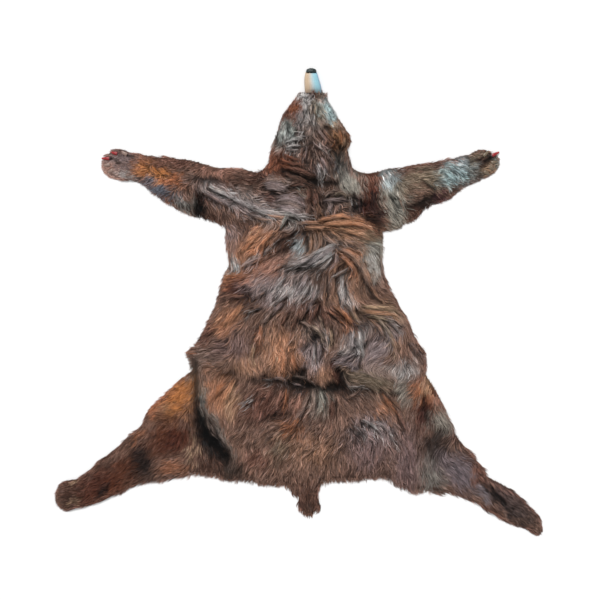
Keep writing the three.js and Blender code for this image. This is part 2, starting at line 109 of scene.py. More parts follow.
# Outline of the hide: each limb from end to end, in millimetres.
# Upright limbs give y, left side, right side; sideways limbs give x, top side, bottom side.
outlines = {
    "snout": ("upright", [
        (930, 28, 73), (921, 26, 76), (910, 24, 79), (894, 23, 84), (876, 24, 89), (858, 25, 92),
        (838, 26, 92)]),
    "head": ("upright", [
        (857, -2, 104), (846, -9, 111), (828, -18, 118), (796, -42, 134), (764, -63, 154), (748, -71, 162),
        (716, -83, 186), (684, -94, 204), (660, -99, 211), (644, -102, 206), (628, -106, 200),
        (604, -108, 205), (580, -118, 210), (556, -130, 217), (530, -140, 222), (470, -140, 222)]),
    "trunk": ("upright", [
        (552, -134, 218), (532, -170, 254), (476, -234, 294), (400, -282, 326), (332, -303, 340),
        (296, -297, 334), (260, -288, 330), (196, -282, 332), (132, -288, 343), (68, -307, 366),
        (4, -326, 394), (-60, -354, 436), (-124, -386, 464), (-160, -406, 492), (-190, -445, 504),
        (-220, -434, 506), (-264, -428, 508), (-330, -388, 500), (-430, -374, 500), (-540, -334, 500)]),
    "rump": ("sideways", [
        (-400, -500, -672), (-370, -450, -670), (-328, -400, -682), (-286, -400, -692), (-198, -400, -697),
        (-146, -400, -708), (-100, -400, -716), (-58, -400, -713), (-10, -400, -730), (94, -400, -702),
        (178, -400, -694), (250, -400, -694), (312, -400, -682), (366, -400, -688), (404, -400, -716)]),
    "tail": ("upright", [
        (-640, -30, 90), (-700, -44, 98), (-732, -34, 81), (-764, -5, 80), (-790, -2, 88), (-804, 3, 95),
        (-818, 11, 66), (-834, 24, 48)]),
    "left foreleg": ("sideways", [
        (-784, 578, 552), (-776, 598, 531), (-750, 620, 508), (-722, 630, 500), (-698, 625, 493),
        (-674, 614, 494), (-650, 609, 496), (-626, 608, 490), (-602, 602, 469), (-578, 597, 449),
        (-530, 596, 412), (-482, 589, 388), (-434, 585, 363), (-386, 571, 353), (-338, 557, 336),
        (-300, 551, 327), (-262, 548, 330), (-190, 541, 340), (-120, 520, 350)]),
    "right foreleg": ("sideways", [
        (800, 584, 556), (792, 598, 542), (776, 612, 525), (750, 622, 512), (726, 627, 503),
        (702, 619, 491), (678, 605, 481), (660, 603, 477), (638, 597, 458), (614, 588, 436),
        (590, 584, 422), (542, 574, 407), (494, 568, 380), (470, 566, 352), (446, 560, 334),
        (422, 554, 330), (398, 549, 309), (374, 552, 301), (350, 549, 300), (326, 541, 300),
        (278, 531, 310), (230, 541, 320), (170, 520, 330)]),
    "left hind leg": ("sideways", [
        (-967, -752, -780), (-960, -730, -798), (-944, -708, -814), (-920, -696, -823), (-894, -692, -820),
        (-866, -682, -811), (-826, -648, -796), (-778, -606, -785), (-730, -569, -762), (-674, -520, -732),
        (-626, -478, -712), (-602, -430, -704), (-578, -398, -701), (-530, -355, -700), (-482, -302, -690),
        (-434, -262, -675), (-386, -250, -671), (-330, -250, -680)]),
    "right hind leg": ("sideways", [
        (972, -872, -898), (964, -850, -914), (948, -826, -919), (926, -802, -909), (904, -782, -893),
        (854, -737, -876), (806, -706, -856), (758, -683, -828), (710, -617, -790), (662, -558, -767),
        (638, -525, -758), (614, -480, -747), (590, -420, -744), (566, -364, -746), (542, -321, -747),
        (518, -284, -736), (494, -240, -736), (470, -200, -744), (446, -180, -735), (406, -180, -717),
        (366, -200, -689)]),
}


def insideLimb(kind, limbRows):
    table = np.array(sorted(limbRows)) * mm
    x, y = planX - spine[0], planY - spine[1]
    along, across = (y, x) if kind == "upright" else (x, y)
    sideA, sideB = (np.interp(along, table[:, 0], table[:, k]) for k in (1, 2))
    between = (across > np.minimum(sideA, sideB)) & (across < np.maximum(sideA, sideB))
    return between & (along >= table[0, 0]) & (along <= table[-1, 0])


def depthFromRim():
    # how far each place lies inside the rim; negative outside it
    within = np.zeros(planX.shape, bool)
    for kind, limbRows in outlines.values():
        within |= insideLimb(kind, limbRows)
    within = soften(within.astype(float), 2) > 0.5
    sideways = within[:, 1:] != within[:, :-1]
    upright = within[1:, :] != within[:-1, :]
    rimX = np.concatenate([(planX[:, 1:] - plan["cell"] / 2)[sideways], planX[1:, :][upright]])
    rimY = np.concatenate([planY[:, 1:][sideways], (planY[1:, :] - plan["cell"] / 2)[upright]])
    tree = searchTree(rimX, rimY)
    places = zip(planX.ravel().tolist(), planY.ravel().tolist())
    distance = np.array([tree.find((x, y, 0))[2] for x, y in places]).reshape(planX.shape)
    return np.where(within, distance, -distance)


rimDepth = soften(depthFromRim(), 2)
inwardY, inwardX = np.gradient(rimDepth, plan["cell"])
hideArea = float((rimDepth > 0).sum() * plan["cell"] ** 2)
print("outline", int(hideArea * 1e4), "square centimetres")

# Creases of the coat: from, to, half width and depth in centimetres, and how dark the painted shade in the
# crease is
creases = [
    # long crease across the rump
    (-31, -26.8, -28, -27.4, 0.5, 0.5, 0.6), (-28, -27.4, -24.6, -26.8, 0.5, 0.5, 0.6),
    (-20, -29.2, -14, -30.2, 0.7, 0.9, 0.6), (-15, -28.4, -10, -29, 0.4, 0.8, 0.75),
    (-14, -30.4, -9, -30.8, 0.45, 1.0, 0.85), (-9, -30.8, -4, -32, 0.6, 1.2, 0.9),
    (-3.4, -31.6, 1, -32.8, 0.95, 1.4, 1.0), (1, -32.6, 5, -32.8, 1.0, 1.5, 1.0),
    (-2.4, -29.6, 2.8, -29.2, 0.8, 0.9, 0.95), (-2.4, -26.4, 1.8, -26.2, 1.2, 0.8, 0.85),
    (4, -31.8, 8, -33.2, 0.9, 1.4, 1.0), (8, -33.4, 18, -34, 0.7, 1.3, 1.0),
    (13, -31.8, 18, -32.6, 1.1, 1.2, 0.95), (16.2, -27.4, 18.8, -31.4, 0.8, 0.9, 0.85),
    (16, -25.8, 16.8, -26.4, 0.8, 1.0, 1.0), (19, -35, 26, -33.8, 0.5, 0.8, 0.8),
    (26, -33.8, 30, -34.8, 0.5, 0.8, 0.9), (30, -34.8, 33, -33.8, 0.45, 0.7, 0.7),
    (33, -34.4, 40, -35.4, 0.45, 0.7, 0.75),
    # fold down the left hip
    (-41.4, -23, -41, -31, 1.3, 0.9, 0.6), (-41, -31, -40.4, -40, 0.9, 1.0, 0.7),
    (-40, -42, -39, -46, 1.5, 1.3, 0.95), (-39, -46, -37.4, -51, 1.8, 1.6, 1.0),
    (-37.4, -51, -32.4, -56.4, 1.9, 1.6, 1.0), (-32.4, -56.4, -28.6, -61, 1.5, 1.4, 0.95),
    # folds of the neck
    (-6.4, 53.6, -2, 52.4, 0.6, 1.1, 1.0), (-2, 52, 5, 49.8, 0.9, 1.1, 1.0),
    (5, 49.8, 9, 48.6, 1.3, 1.3, 1.0), (9, 48.4, 15, 48.6, 0.8, 1.1, 1.0),
    (-4.8, 46, -1.6, 47.6, 0.4, 0.9, 1.0), (-1.6, 47.6, 2.4, 48.8, 0.4, 0.9, 1.0),
    (2.4, 48.8, 5.6, 47, 0.5, 0.9, 1.0), (5.6, 46.8, 9, 47.6, 0.4, 0.8, 0.8),
    (-14, 47.2, -12, 45, 0.4, 0.8, 0.95), (-12, 45, -9, 44.2, 0.55, 0.9, 1.0),
    (-9, 44.2, -4.4, 45.8, 0.55, 0.9, 0.95),
    # middle of the back and shoulders
    (-4.5, 13.6, 0, 14, 0.5, 1.0, 1.0), (0, 14.4, 5, 15.2, 0.5, 1.0, 1.0),
    (5, 15.2, 8.4, 16.2, 0.3, 0.7, 0.9), (1, 13.6, 6.5, 14.2, 0.35, 0.9, 0.95),
    (2.6, 29, 3.6, 26, 0.45, 1.0, 1.0), (3.6, 26, 3.6, 22.6, 0.45, 1.0, 0.95),
    (-3, 28.2, 1.4, 29.4, 0.4, 0.8, 0.9), (-8.4, 20.4, -4.6, 23, 0.4, 0.8, 0.9),
    (15, 24.6, 18, 25.2, 0.5, 0.8, 0.8), (17, 23.4, 20.6, 23.6, 0.4, 0.8, 0.8),
    (24.6, 16.6, 25.6, 13, 0.35, 0.8, 0.85), (25.6, 13, 26.2, 9, 0.35, 0.8, 0.85),
    (27.6, 9, 28.6, 6, 0.5, 0.8, 0.8), (29, 5.4, 30.6, 2.6, 0.7, 0.8, 0.75),
    (-5.4, 31, -3, 35, 0.35, 0.8, 1.0), (-1, 35.8, 2.8, 38.4, 0.35, 0.7, 0.9),
    (3, 38.4, 3.2, 41.4, 0.3, 0.6, 0.7), (8.4, 35.6, 9.6, 37, 0.5, 0.8, 0.8),
    (10, 35, 13, 35.8, 0.4, 0.7, 0.9), (11.6, 38.2, 12.4, 40, 0.4, 0.7, 0.8),
    (6.8, 31.6, 10.4, 32.2, 0.35, 0.7, 0.85),
    # curls by the right shoulder
    (21, 42.4, 25, 41, 1.0, 0.9, 0.9), (21.6, 38.2, 25.4, 39.4, 0.8, 0.8, 0.9),
    (26, 35.6, 31, 33, 0.8, 0.7, 0.7),
    # back and flanks
    (23, -2.6, 24, -3, 0.7, 0.9, 1.0), (15, -5.6, 21, -5.6, 0.5, 0.8, 0.9),
    (21, -5.8, 22.6, -8, 0.4, 0.7, 0.8), (24, -5.4, 30, -5, 0.35, 0.7, 0.85),
    (25, -7.6, 28, -7, 0.4, 0.7, 0.8), (6.2, -13.6, 7.4, -12.6, 0.8, 1.0, 1.0),
    (-3, -7, 2, -6.6, 0.5, 0.8, 0.9), (22, -17.6, 28, -14.6, 0.4, 0.8, 0.95),
    (17.4, -20, 21, -18, 0.35, 0.7, 0.8), (-22, 6.8, -20.4, 6.4, 0.5, 0.7, 0.85),
    (-19.4, 4.6, -18, 2.4, 0.5, 0.7, 0.85), (-20.6, -2.8, -15.4, -1.8, 0.35, 0.6, 0.8),
    (-10.4, 2.2, -8.4, 2.8, 0.4, 0.6, 0.8), (-24, 17.2, -16.4, 19.6, 0.35, 0.6, 0.7),
    # forelegs
    (-39.4, 44, -39.8, 37, 1.3, 1.0, 0.8), (-40, 50.6, -30, 49.6, 0.7, 0.6, 0.5),
    (45, 39, 54, 43.6, 1.0, 0.7, 0.6), (37.4, 43.4, 40.6, 40.8, 0.4, 0.6, 0.7),
    # rump
    (-14, -45.4, -9, -43.6, 0.7, 0.7, 0.7), (-9, -43.4, -1, -42.8, 0.8, 0.6, 0.5),
    (24.6, -46.8, 29, -48.6, 0.5, 0.8, 0.9), (21.6, -49.8, 25, -51.8, 0.5, 0.7, 0.85),
    # ear edges
    (-4.6, 72.4, -3, 68.4, 0.5, 0.6, 0.8), (-3, 68.4, -1.2, 67, 0.35, 0.6, 0.75),
    (-8.8, 67.4, -8, 64.4, 0.7, 0.6, 0.8), (10.8, 70.8, 12.4, 69.8, 0.6, 0.7, 0.8),
    (11.8, 67.6, 15, 65.4, 0.4, 0.6, 0.75), (16, 63.6, 18, 62.4, 0.5, 0.6, 0.7),
    # crown
    (5.4, 61.2, 6, 58.8, 0.4, 0.8, 0.95), (6.8, 60.8, 8.6, 58.2, 0.35, 0.7, 0.9),
    (11.4, 61.6, 14.4, 62.8, 0.4, 0.7, 0.85), (3, 64, 6, 64.6, 0.6, 0.7, 0.7),
    (3, 57.4, 4, 56.4, 0.5, 0.7, 0.9), (16.4, 60.8, 16.8, 56, 0.5, 0.6, 0.6),
    # between the toes
    (-74.4, 58.2, -70.4, 56.2, 0.35, 0.4, 0.8), (-69.4, 61.2, -66.4, 58.6, 0.3, 0.4, 0.8),
    (72.6, 57.8, 75.4, 61.2, 0.35, 0.5, 0.9), (74.6, 56.4, 78, 60.2, 0.4, 0.6, 1.0),
    (66.4, 58.8, 68.8, 57.0, 0.3, 0.4, 0.8), (68.8, 57.0, 72.0, 58.0, 0.3, 0.4, 0.8),
    (72.6, 56.4, 72.8, 50, 0.3, 0.2, 0.45),
    # right hip and leg
    (50, -37, 51, -46, 0.9, 0.6, 0.5), (76, -72, 83, -80, 0.5, 0.5, 0.8),
]

# Locks that stand out: x, y of the root, heading, turn along the lock in degrees (positive to
# the left), length, half width, dye, and how dark the painted shade in the gap beside it is
tufts = [
    # head
    (3.4, 67.4, -175, 20, 8, 0.43, "white", 0.4), (2.6, 66, 178, 22, 8, 0.43, "ash", 0.48),
    (1.4, 63.4, 175, 20, 6, 0.43, "ash", 0.4), (0.4, 61.6, 178, -5, 5, 0.35, "ash", 0.5),
    (2, 68.8, 170, 35, 5, 0.37, "white", 0.4), (7.6, 70.4, -60, 15, 7.5, 0.5, "lilac", 0.56),
    (9.6, 70, -55, 15, 8, 0.5, "rose", 0.64), (6, 67.6, -50, 15, 8, 0.5, "taupe", 0.56),
    (5.4, 65.2, -45, 15, 8, 0.43, "lilac", 0.56), (8, 62.8, -15, 5, 6, 0.37, "taupe", 0.64),
    (4.2, 64.2, -115, 25, 6.5, 0.43, "lilac", 0.64), (1.6, 63, -100, 10, 7, 0.5, "rose", 0.48),
    (6.6, 62.2, -75, 10, 6, 0.37, "taupe", 0.72), (5.2, 58.6, -95, 5, 5, 0.43, "rose", 0.64),
    (8.6, 59.4, -65, 10, 6, 0.5, "lilac", 0.48), (7.4, 56.8, -60, 10, 5, 0.62, "taupe", 0.4),
    (12.2, 70.4, -20, -60, 7, 0.62, "tan", 0.24), (16, 70.4, -70, -10, 6.5, 0.5, "rust", 0.4),
    (18.2, 68, -85, -20, 5.5, 0.56, "tan", 0.48), (-1, 70, -125, 5, 5, 0.43, "lichen", 0.64),
    (-4.8, 70.6, -105, 15, 6, 0.5, "ash", 0.2), (-6.4, 67, -85, 25, 5, 0.37, "lichen", 0.72),
    (-6, 60.2, -35, 35, 8, 0.56, "sienna", 0.48), (-8, 58.4, -30, 25, 9, 0.56, "sienna", 0.48),
    (-4, 57.2, -20, 15, 8, 0.5, "chestnut", 0.64), (11, 60.4, -60, 0, 5, 0.5, "mauve", 0.64),
    (14.6, 60.6, -85, 0, 5.5, 0.56, "pewter", 0.64), (1, 82.6, 60, 0, 3.2, 0.5, "white", 0.0),
    (3.4, 83, 150, 0, 3, 0.5, "white", 0.1), (5.4, 83.4, 80, 0, 2.6, 0.5, "sienna", 0.0),
    (8, 83.4, 70, 0, 2.6, 0.62, "sand", 0.0), (10.4, 83.4, 50, 0, 2.4, 0.5, "rose", 0.0),
    (3, 80.6, -95, 10, 4, 0.35, "ash", 0.48), (5.2, 80.4, -90, -15, 4, 0.35, "sand", 0.56),
    (7, 80, -92, 15, 4, 0.35, "sand", 0.48), (4, 76.6, -88, 20, 4, 0.35, "ash", 0.48),
    (6.4, 76, -85, -15, 4.4, 0.35, "white", 0.56), (1.6, 77, -100, 15, 4, 0.35, "ash", 0.48),
    (6.4, 70.2, -110, 60, 5, 0.4, "taupe", 0.5), (8.8, 68.4, -30, -70, 5, 0.4, "lilac", 0.5),
    (11, 66.6, -80, -60, 4.6, 0.4, "rose", 0.6), (8.6, 65.4, -110, 80, 4.6, 0.4, "ash", 0.5),
    (5, 62.4, -40, -70, 4.6, 0.4, "taupe", 0.6), (10.4, 63.4, -90, 50, 4.6, 0.4, "lilac", 0.6),
    (2.6, 70, -130, 40, 4.6, 0.4, "ash", 0.5), (0, 72.4, -70, -40, 4.6, 0.4, "lilac", 0.5),
    (13, 62, -150, 60, 4, 0.4, "pewter", 0.7), (14.4, 57.6, -60, -60, 4, 0.4, "slate", 0.6),
    (11.6, 57, -110, 60, 4.4, 0.4, "taupe", 0.6), (15, 69.6, -150, 100, 4, 0.45, "tan", 0.5),
    (17.6, 66.4, -40, -100, 4, 0.45, "camel", 0.5), (14, 66, -60, -90, 4, 0.4, "rust", 0.5),
    # neck and chest
    (-14, 49.5, 25, -60, 10, 1.4, "taupe", 0.2), (-14.5, 47.6, 15, -45, 10, 1.2, "lilac", 0.4),
    (-13, 46.4, 5, -20, 8.5, 0.9, "lilac", 1.0), (-4.5, 46.8, 40, -75, 9.5, 0.9, "chestnut", 0.9),
    (-6, 52.4, -15, -12, 13, 0.9, "umber", 0.9), (-6, 54.6, -5, -20, 12, 0.8, "chestnut", 0.9),
    (7.2, 56, -60, -40, 6, 0.9, "ash", 0.7), (10.2, 54.6, -85, -35, 5, 0.6, "ash", 0.6),
    (-1.5, 46.6, -30, -40, 4.5, 0.8, "lichen", 0.5), (-9, 41.6, 25, -75, 13, 1.5, "lilac", 0.3),
    (-9, 39.8, 15, -70, 12.5, 1.5, "taupe", 0.3), (-8.5, 38.2, 8, -55, 11, 1.3, "lilac", 0.9),
    (-20, 41, -35, 25, 12, 0.8, "lilac", 0.6), (-19, 38.6, -25, 20, 13, 0.8, "ash", 0.5),
    (-14, 37.6, -10, 5, 13, 0.8, "ash", 0.5), (-20, 36.4, -25, 15, 9, 0.8, "taupe", 0.5),
    (-26, 42.5, -30, 10, 10, 1.0, "ash", 0.6), (-4, 36.4, -115, -10, 7, 0.9, "lichen", 0.9),
    (4, 46, -100, 20, 6, 1.3, "chestnut", 0.5), (6.5, 45, -80, -10, 6, 1.2, "chestnut", 0.6),
    (3.4, 41.5, -80, -10, 5.5, 1.2, "hazel", 0.8), (7.4, 40, -75, 10, 5, 1.0, "camel", 0.6),
    (10.2, 43, 60, -75, 6, 0.8, "taupe", 0.7), (14.2, 43, 65, -150, 7, 0.8, "olive", 0.9),
    (10, 41, 20, -35, 10, 0.8, "lilac", 0.8), (13.2, 41, -110, 15, 6, 1.0, "lilac", 0.9),
    (16, 39.6, -130, 20, 5, 0.9, "rose", 0.5), (20.6, 43.5, -80, 10, 4.6, 0.7, "ash", 0.8),
    (22.4, 44.6, -50, -40, 6, 0.7, "mauve", 0.9), (24, 42, -70, -30, 5, 0.6, "mauve", 0.9),
    (7.6, 33.4, 22, -30, 12, 0.9, "apricot", 0.8), (9, 31.8, 10, -18, 14, 0.9, "apricot", 0.6),
    (0, 32.4, 10, -20, 9, 0.8, "camel", 0.7), (13, 35.2, 15, -40, 9, 0.9, "apricot", 0.5),
    (18, 32.8, -2, -25, 9, 1.0, "rust", 0.5), (2, 30.6, 5, -10, 10, 0.8, "camel", 0.6),
    (16, 30, -5, -25, 10, 0.8, "apricot", 0.5), (-3, 35, 15, -30, 9, 0.9, "ash", 0.8),
    # shoulders to the middle of the back
    (4.4, 28.4, -75, -25, 7.8, 0.7, "camel", 0.9), (6.4, 28.6, -70, -45, 8.6, 0.7, "taupe", 0.8),
    (8.2, 28.8, -68, -70, 9.6, 0.8, "camel", 0.9), (9.4, 28.4, -60, 50, 7.5, 0.7, "taupe", 0.7),
    (15.6, 24.4, -160, 10, 13, 0.8, "ash", 0.6), (14.8, 23, -150, 5, 13.5, 0.9, "lilac", 0.4),
    (14.2, 21.4, -140, -12, 12, 0.8, "ash", 0.6), (6.4, 19.2, -160, 15, 10.5, 0.9, "lilac", 0.9),
    (13.6, 19.6, -118, -28, 8.5, 0.8, "ash", 0.8), (15.2, 20.8, -85, -20, 8, 0.8, "lilac", 0.6),
    (1, 17, -160, -15, 7, 0.6, "ash", 0.8), (-1.4, 25.6, -160, 20, 6.5, 1.1, "umber", 0.8),
    (-3, 27.6, -175, 30, 7, 0.7, "umber", 0.7), (-10, 29, -140, 15, 9, 0.8, "apricot", 0.5),
    (-12, 27, -135, 18, 10, 0.9, "rust", 0.6), (-8, 25.6, -150, 25, 8, 0.7, "ash", 0.6),
    (-13.6, 23.6, -115, 10, 8, 0.8, "rust", 0.5), (-16, 28, -140, 15, 9, 0.8, "rust", 0.5),
    (-15, 20.6, -155, 25, 9, 0.8, "ash", 0.8), (-14, 19, -160, 10, 9.5, 0.8, "lilac", 0.4),
    (16, 22.2, -5, -70, 14, 0.9, "apricot", 0.7), (19, 21, -35, -40, 14, 0.9, "taupe", 0.8),
    (22.6, 19.6, -50, -25, 14, 0.9, "camel", 0.8), (16.4, 19.6, -25, -45, 9, 0.8, "rust", 0.5),
    (24.4, 17, -75, 15, 10, 0.7, "taupe", 0.9), (20.4, 14.6, -160, 15, 8, 0.6, "ash", 0.8),
    (18, 17.4, -150, 20, 7, 0.7, "camel", 0.5), (10.8, 12, -95, 0, 8, 0.7, "hazel", 0.7),
    (13.8, 12, -85, -8, 8, 0.7, "camel", 0.7), (17.4, 12, -92, 0, 8, 0.9, "ash", 0.5),
    (4, 12.5, -120, 5, 8, 1.0, "lilac", 0.4), (-5, 12, -130, 0, 8, 1.0, "ash", 0.4),
    # back and flanks
    (-20.5, 4.6, -40, -60, 4, 0.6, "umber", 0.8), (-22, 1, -125, -5, 10, 1.2, "apricot", 0.4),
    (-24.5, -1, -130, 0, 9, 1.1, "apricot", 0.4), (-21.5, 3.6, 180, 10, 8.5, 0.8, "rose", 0.4),
    (-14.5, -1, -170, 20, 6.5, 0.6, "ash", 0.8), (-13, 5.6, -150, 5, 6, 0.6, "camel", 0.7),
    (-14.6, -7, -95, 3, 10, 0.9, "rust", 0.4), (-17.6, -15.5, -95, -5, 6, 0.8, "sand", 0.3),
    (-33, -9.6, -150, 0, 5, 0.6, "chestnut", 0.7), (-4, 4.5, -150, 10, 7, 0.8, "ash", 0.8),
    (-6, 1, -135, 0, 7, 0.8, "lilac", 0.7), (-10, -1.4, -125, 0, 6.5, 0.8, "taupe", 0.7),
    (-4, -2.4, -120, 0, 6, 0.8, "chestnut", 0.7), (-6, -17, -85, 0, 8, 1.0, "rust", 0.4),
    (-2.6, -18, -80, 0, 8, 1.0, "rust", 0.5), (4, 8, -120, 5, 7, 1.0, "ash", 0.5),
    (7, 6, -110, 10, 6, 0.9, "lilac", 0.6), (11, 6, -100, 10, 6.5, 0.6, "camel", 0.8),
    (14.4, 5.6, -75, -5, 6.5, 0.7, "camel", 0.8), (18, 8, -88, -12, 8, 0.9, "ash", 0.7),
    (28.6, 8, -62, 15, 8, 0.9, "camel", 0.9), (31, 3, -10, -60, 5, 0.8, "camel", 0.8),
    (25.6, -0.4, -2, -12, 14, 0.8, "sand", 0.6), (25, -2.4, -4, -8, 13, 0.8, "apricot", 0.6),
    (27, -4, -8, -10, 12, 0.7, "olive", 0.7), (28, -5.4, -40, -15, 9, 0.7, "camel", 0.8),
    (31, -5, -40, -20, 8.5, 0.6, "oat", 0.8), (35, -4.8, -45, -10, 7, 0.6, "ash", 0.7),
    (14, -0.6, -30, -25, 9, 0.8, "camel", 0.8), (17, -2.6, -35, -30, 9, 0.8, "apricot", 0.9),
    (12, -2.8, -30, -20, 7, 0.7, "chestnut", 0.8), (20.4, -1.6, -50, -10, 7, 0.9, "sand", 0.8),
    (21.6, -6.6, -25, 30, 6, 1.0, "mauve", 0.7), (21.4, -9.6, -92, 0, 7.5, 1.2, "lilac", 0.2),
    (24.2, -10, -80, -5, 6, 1.0, "ash", 0.3), (22.6, -18.6, -155, 10, 8, 1.2, "lilac", 0.1),
    (24.6, -20, -120, 15, 6, 1.0, "lilac", 0.6), (5, -8.6, -20, -60, 8, 0.8, "oat", 0.8),
    (9, -8.8, -40, -50, 7, 0.8, "ash", 0.8), (12.6, -9, -80, -10, 7, 0.7, "sand", 0.8),
    (8.6, -15, -95, 5, 7, 0.8, "lilac", 0.7), (6.4, -15.6, -90, 0, 7, 0.6, "ash", 0.8),
    (3, -12, -110, 10, 6, 0.8, "rose", 0.5), (8, 0.4, -120, 15, 6, 0.8, "chestnut", 0.9),
    (3.6, -0.8, -125, 10, 6, 0.8, "hazel", 0.9), (-1, -4.6, -110, 10, 5, 0.8, "chestnut", 0.9),
    (8, -4.2, -60, -20, 5, 0.7, "olive", 0.9), (0.4, -6.4, -20, -30, 6, 0.7, "taupe", 0.9),
    (42.8, -21.4, -120, 30, 5, 1.0, "ash", 0.3), (34, -9, -50, -25, 12, 0.8, "oat", 0.4),
    (44, -14.6, -45, -10, 7, 0.7, "slate", 0.6), (17.4, -26.6, -78, 40, 9, 0.5, "taupe", 0.8),
    (-39.8, -19.4, 178, -8, 4.2, 0.8, "sienna", 0.0),
    # rump
    (-14.5, -29.2, -15, 10, 4.6, 0.5, "ash", 0.9), (-10, -29.4, 20, -80, 6.4, 0.7, "lilac", 0.9),
    (-3.6, -30.8, -22, 12, 8.5, 0.5, "lilac", 0.9), (-2, -28.4, -5, -35, 9.5, 0.6, "taupe", 0.9),
    (19.6, -32.4, -8, 5, 7, 0.5, "ash", 0.8), (19, -37.4, 25, 20, 9, 0.6, "taupe", 0.5),
    (-6, -33.6, -115, 10, 7, 1.0, "rose", 0.5), (-9.6, -32.4, -120, 10, 8, 1.0, "chestnut", 0.5),
    (-4.4, -33.4, -100, 0, 6.5, 0.9, "rust", 0.5), (1, -35, -100, 0, 7, 1.1, "rose", 0.5),
    (6.2, -33.6, -90, 0, 8, 1.1, "taupe", 0.6), (8.6, -34.2, -75, 0, 8, 0.9, "stone", 0.6),
    (4, -36, -110, -10, 7.5, 0.7, "taupe", 0.7), (-16.6, -34.4, -130, -15, 7, 0.6, "ash", 0.7),
    (-17.6, -37.4, -150, 0, 4.5, 0.5, "ash", 0.6), (-28, -30, -140, 15, 10, 1.2, "rust", 0.3),
    (-25, -29.4, -125, 15, 11, 1.2, "apricot", 0.3), (-39.8, -40.6, -58, -25, 7, 0.6, "pewter", 0.7),
    (-36.2, -46, -88, 45, 7.5, 0.7, "taupe", 0.9), (-32.6, -51, -45, -10, 8, 0.8, "taupe", 0.6),
    (0.6, -44.6, -130, 0, 7, 1.1, "rust", 0.5), (-1.4, -49.4, -140, 0, 6, 0.8, "rust", 0.6),
    (3, -40.6, -120, -10, 5, 0.5, "ash", 0.9), (33.4, -35.4, -60, 10, 9, 0.8, "rust", 0.5),
    (35.6, -36, -45, 0, 8, 0.6, "camel", 0.6), (25, -45.6, -20, -25, 8, 0.7, "ash", 0.8),
    (28.8, -46.6, -45, -10, 7, 0.6, "ash", 0.8), (22, -47.6, -60, 20, 5, 0.7, "ash", 0.7),
    (33, -45, -65, 5, 8, 0.8, "lilac", 0.5), (36.4, -49.4, -75, 10, 6, 0.6, "ash", 0.6),
    (11, -35, -60, -40, 8, 0.8, "chestnut", 0.8), (14, -38, -95, 0, 7, 0.8, "chestnut", 0.6),
    (39.4, -41, -70, 0, 9, 0.9, "chestnut", 0.5),
    # forelegs
    (-36, 47.4, -25, 0, 11, 0.9, "ash", 0.8), (-38, 45.4, -30, 0, 11, 0.9, "lilac", 0.8),
    (-30, 44.6, -28, 5, 10, 0.8, "ash", 0.7), (-41.6, 45, -80, -20, 6, 1.0, "pewter", 0.6),
    (-59, 55, -50, 35, 6, 1.0, "amber", 0.3), (-56, 54.4, -40, 25, 6, 1.0, "amber", 0.4),
    (37, 44, -50, -20, 6, 0.8, "stone", 0.8), (40, 43, -60, -20, 7, 0.8, "stone", 0.8),
    # the ice locks are pale fur with a painted reflection of a cool light mixed in
    (60, 55, -25, -10, 6, 0.5, "fog", 0.2), (57.6, 53.6, -35, -10, 6, 0.5, "ice", 0.25),
    (62.6, 54.6, -30, 10, 5, 0.45, "ice", 0.2), (59, 51.8, -40, 0, 5, 0.45, "ice", 0.3),
    (62, 51.6, -40, 0, 5, 0.45, "fog", 0.3), (65.6, 55.6, -35, 0, 5, 0.45, "lichen", 0.3),
    (50, 49.6, -20, -40, 6, 0.7, "olive", 0.8),
]
tuft = {
    "gapWidth": 0.44, "gapDepth": 0.004, "bulge": 0.003, "edge": 0.002, "lift": 0.0015, "perArea": 4.0,
    "over": 0.012, "most": 70, "least": 12, "width": 0.0014, "own": 0.7, "window": 0.03, "lightLean": 0.35,
    "shownAt": 14, "steps": 5, "seed": 140}


def tuftPath(row, shares):
    # places and headings along a lock, in metres
    x, y, heading, turn, length = row[:5]
    start, bendBy = math.radians(heading), math.radians(turn) or 1e-4
    now = start + bendBy * shares
    alongX = (np.sin(now) - np.sin(start)) * length / bendBy
    alongY = (np.cos(start) - np.cos(now)) * length / bendBy
    return (x + alongX) * cm + spine[0], (y + alongY) * cm + spine[1], now


def shadowSide(now):
    # 1 where the side away from the light is on the left of the heading, -1 on the right
    return np.where(-np.sin(now) * tuft["lightLean"] - np.cos(now) > 0, 1.0, -1.0)


def nearLine(x, y, row):
    startX, startY, endX, endY, halfWidth = (value * cm for value in row[:5])
    runX, runY = endX - startX, endY - startY
    share = ((x - spine[0] - startX) * runX + (y - spine[1] - startY) * runY) / (runX ** 2 + runY ** 2)
    share = np.clip(share, 0, 1)
    apart = np.hypot(x - spine[0] - startX - share * runX, y - spine[1] - startY - share * runY)
    return np.exp(-(apart / halfWidth) ** 2)


coat = {
    "rimHeight": 0.006, "rimSlope": 0.3, "rimReach": 0.05, "fade": 0.03, "margin": 0.004,
    "lump": 0.0022, "lumpLength": 0.07, "tuft": 0.0014, "tuftLength": 0.03,
    "wander": 0.004, "wanderLength": 0.04, "creaseSpread": 1.2}


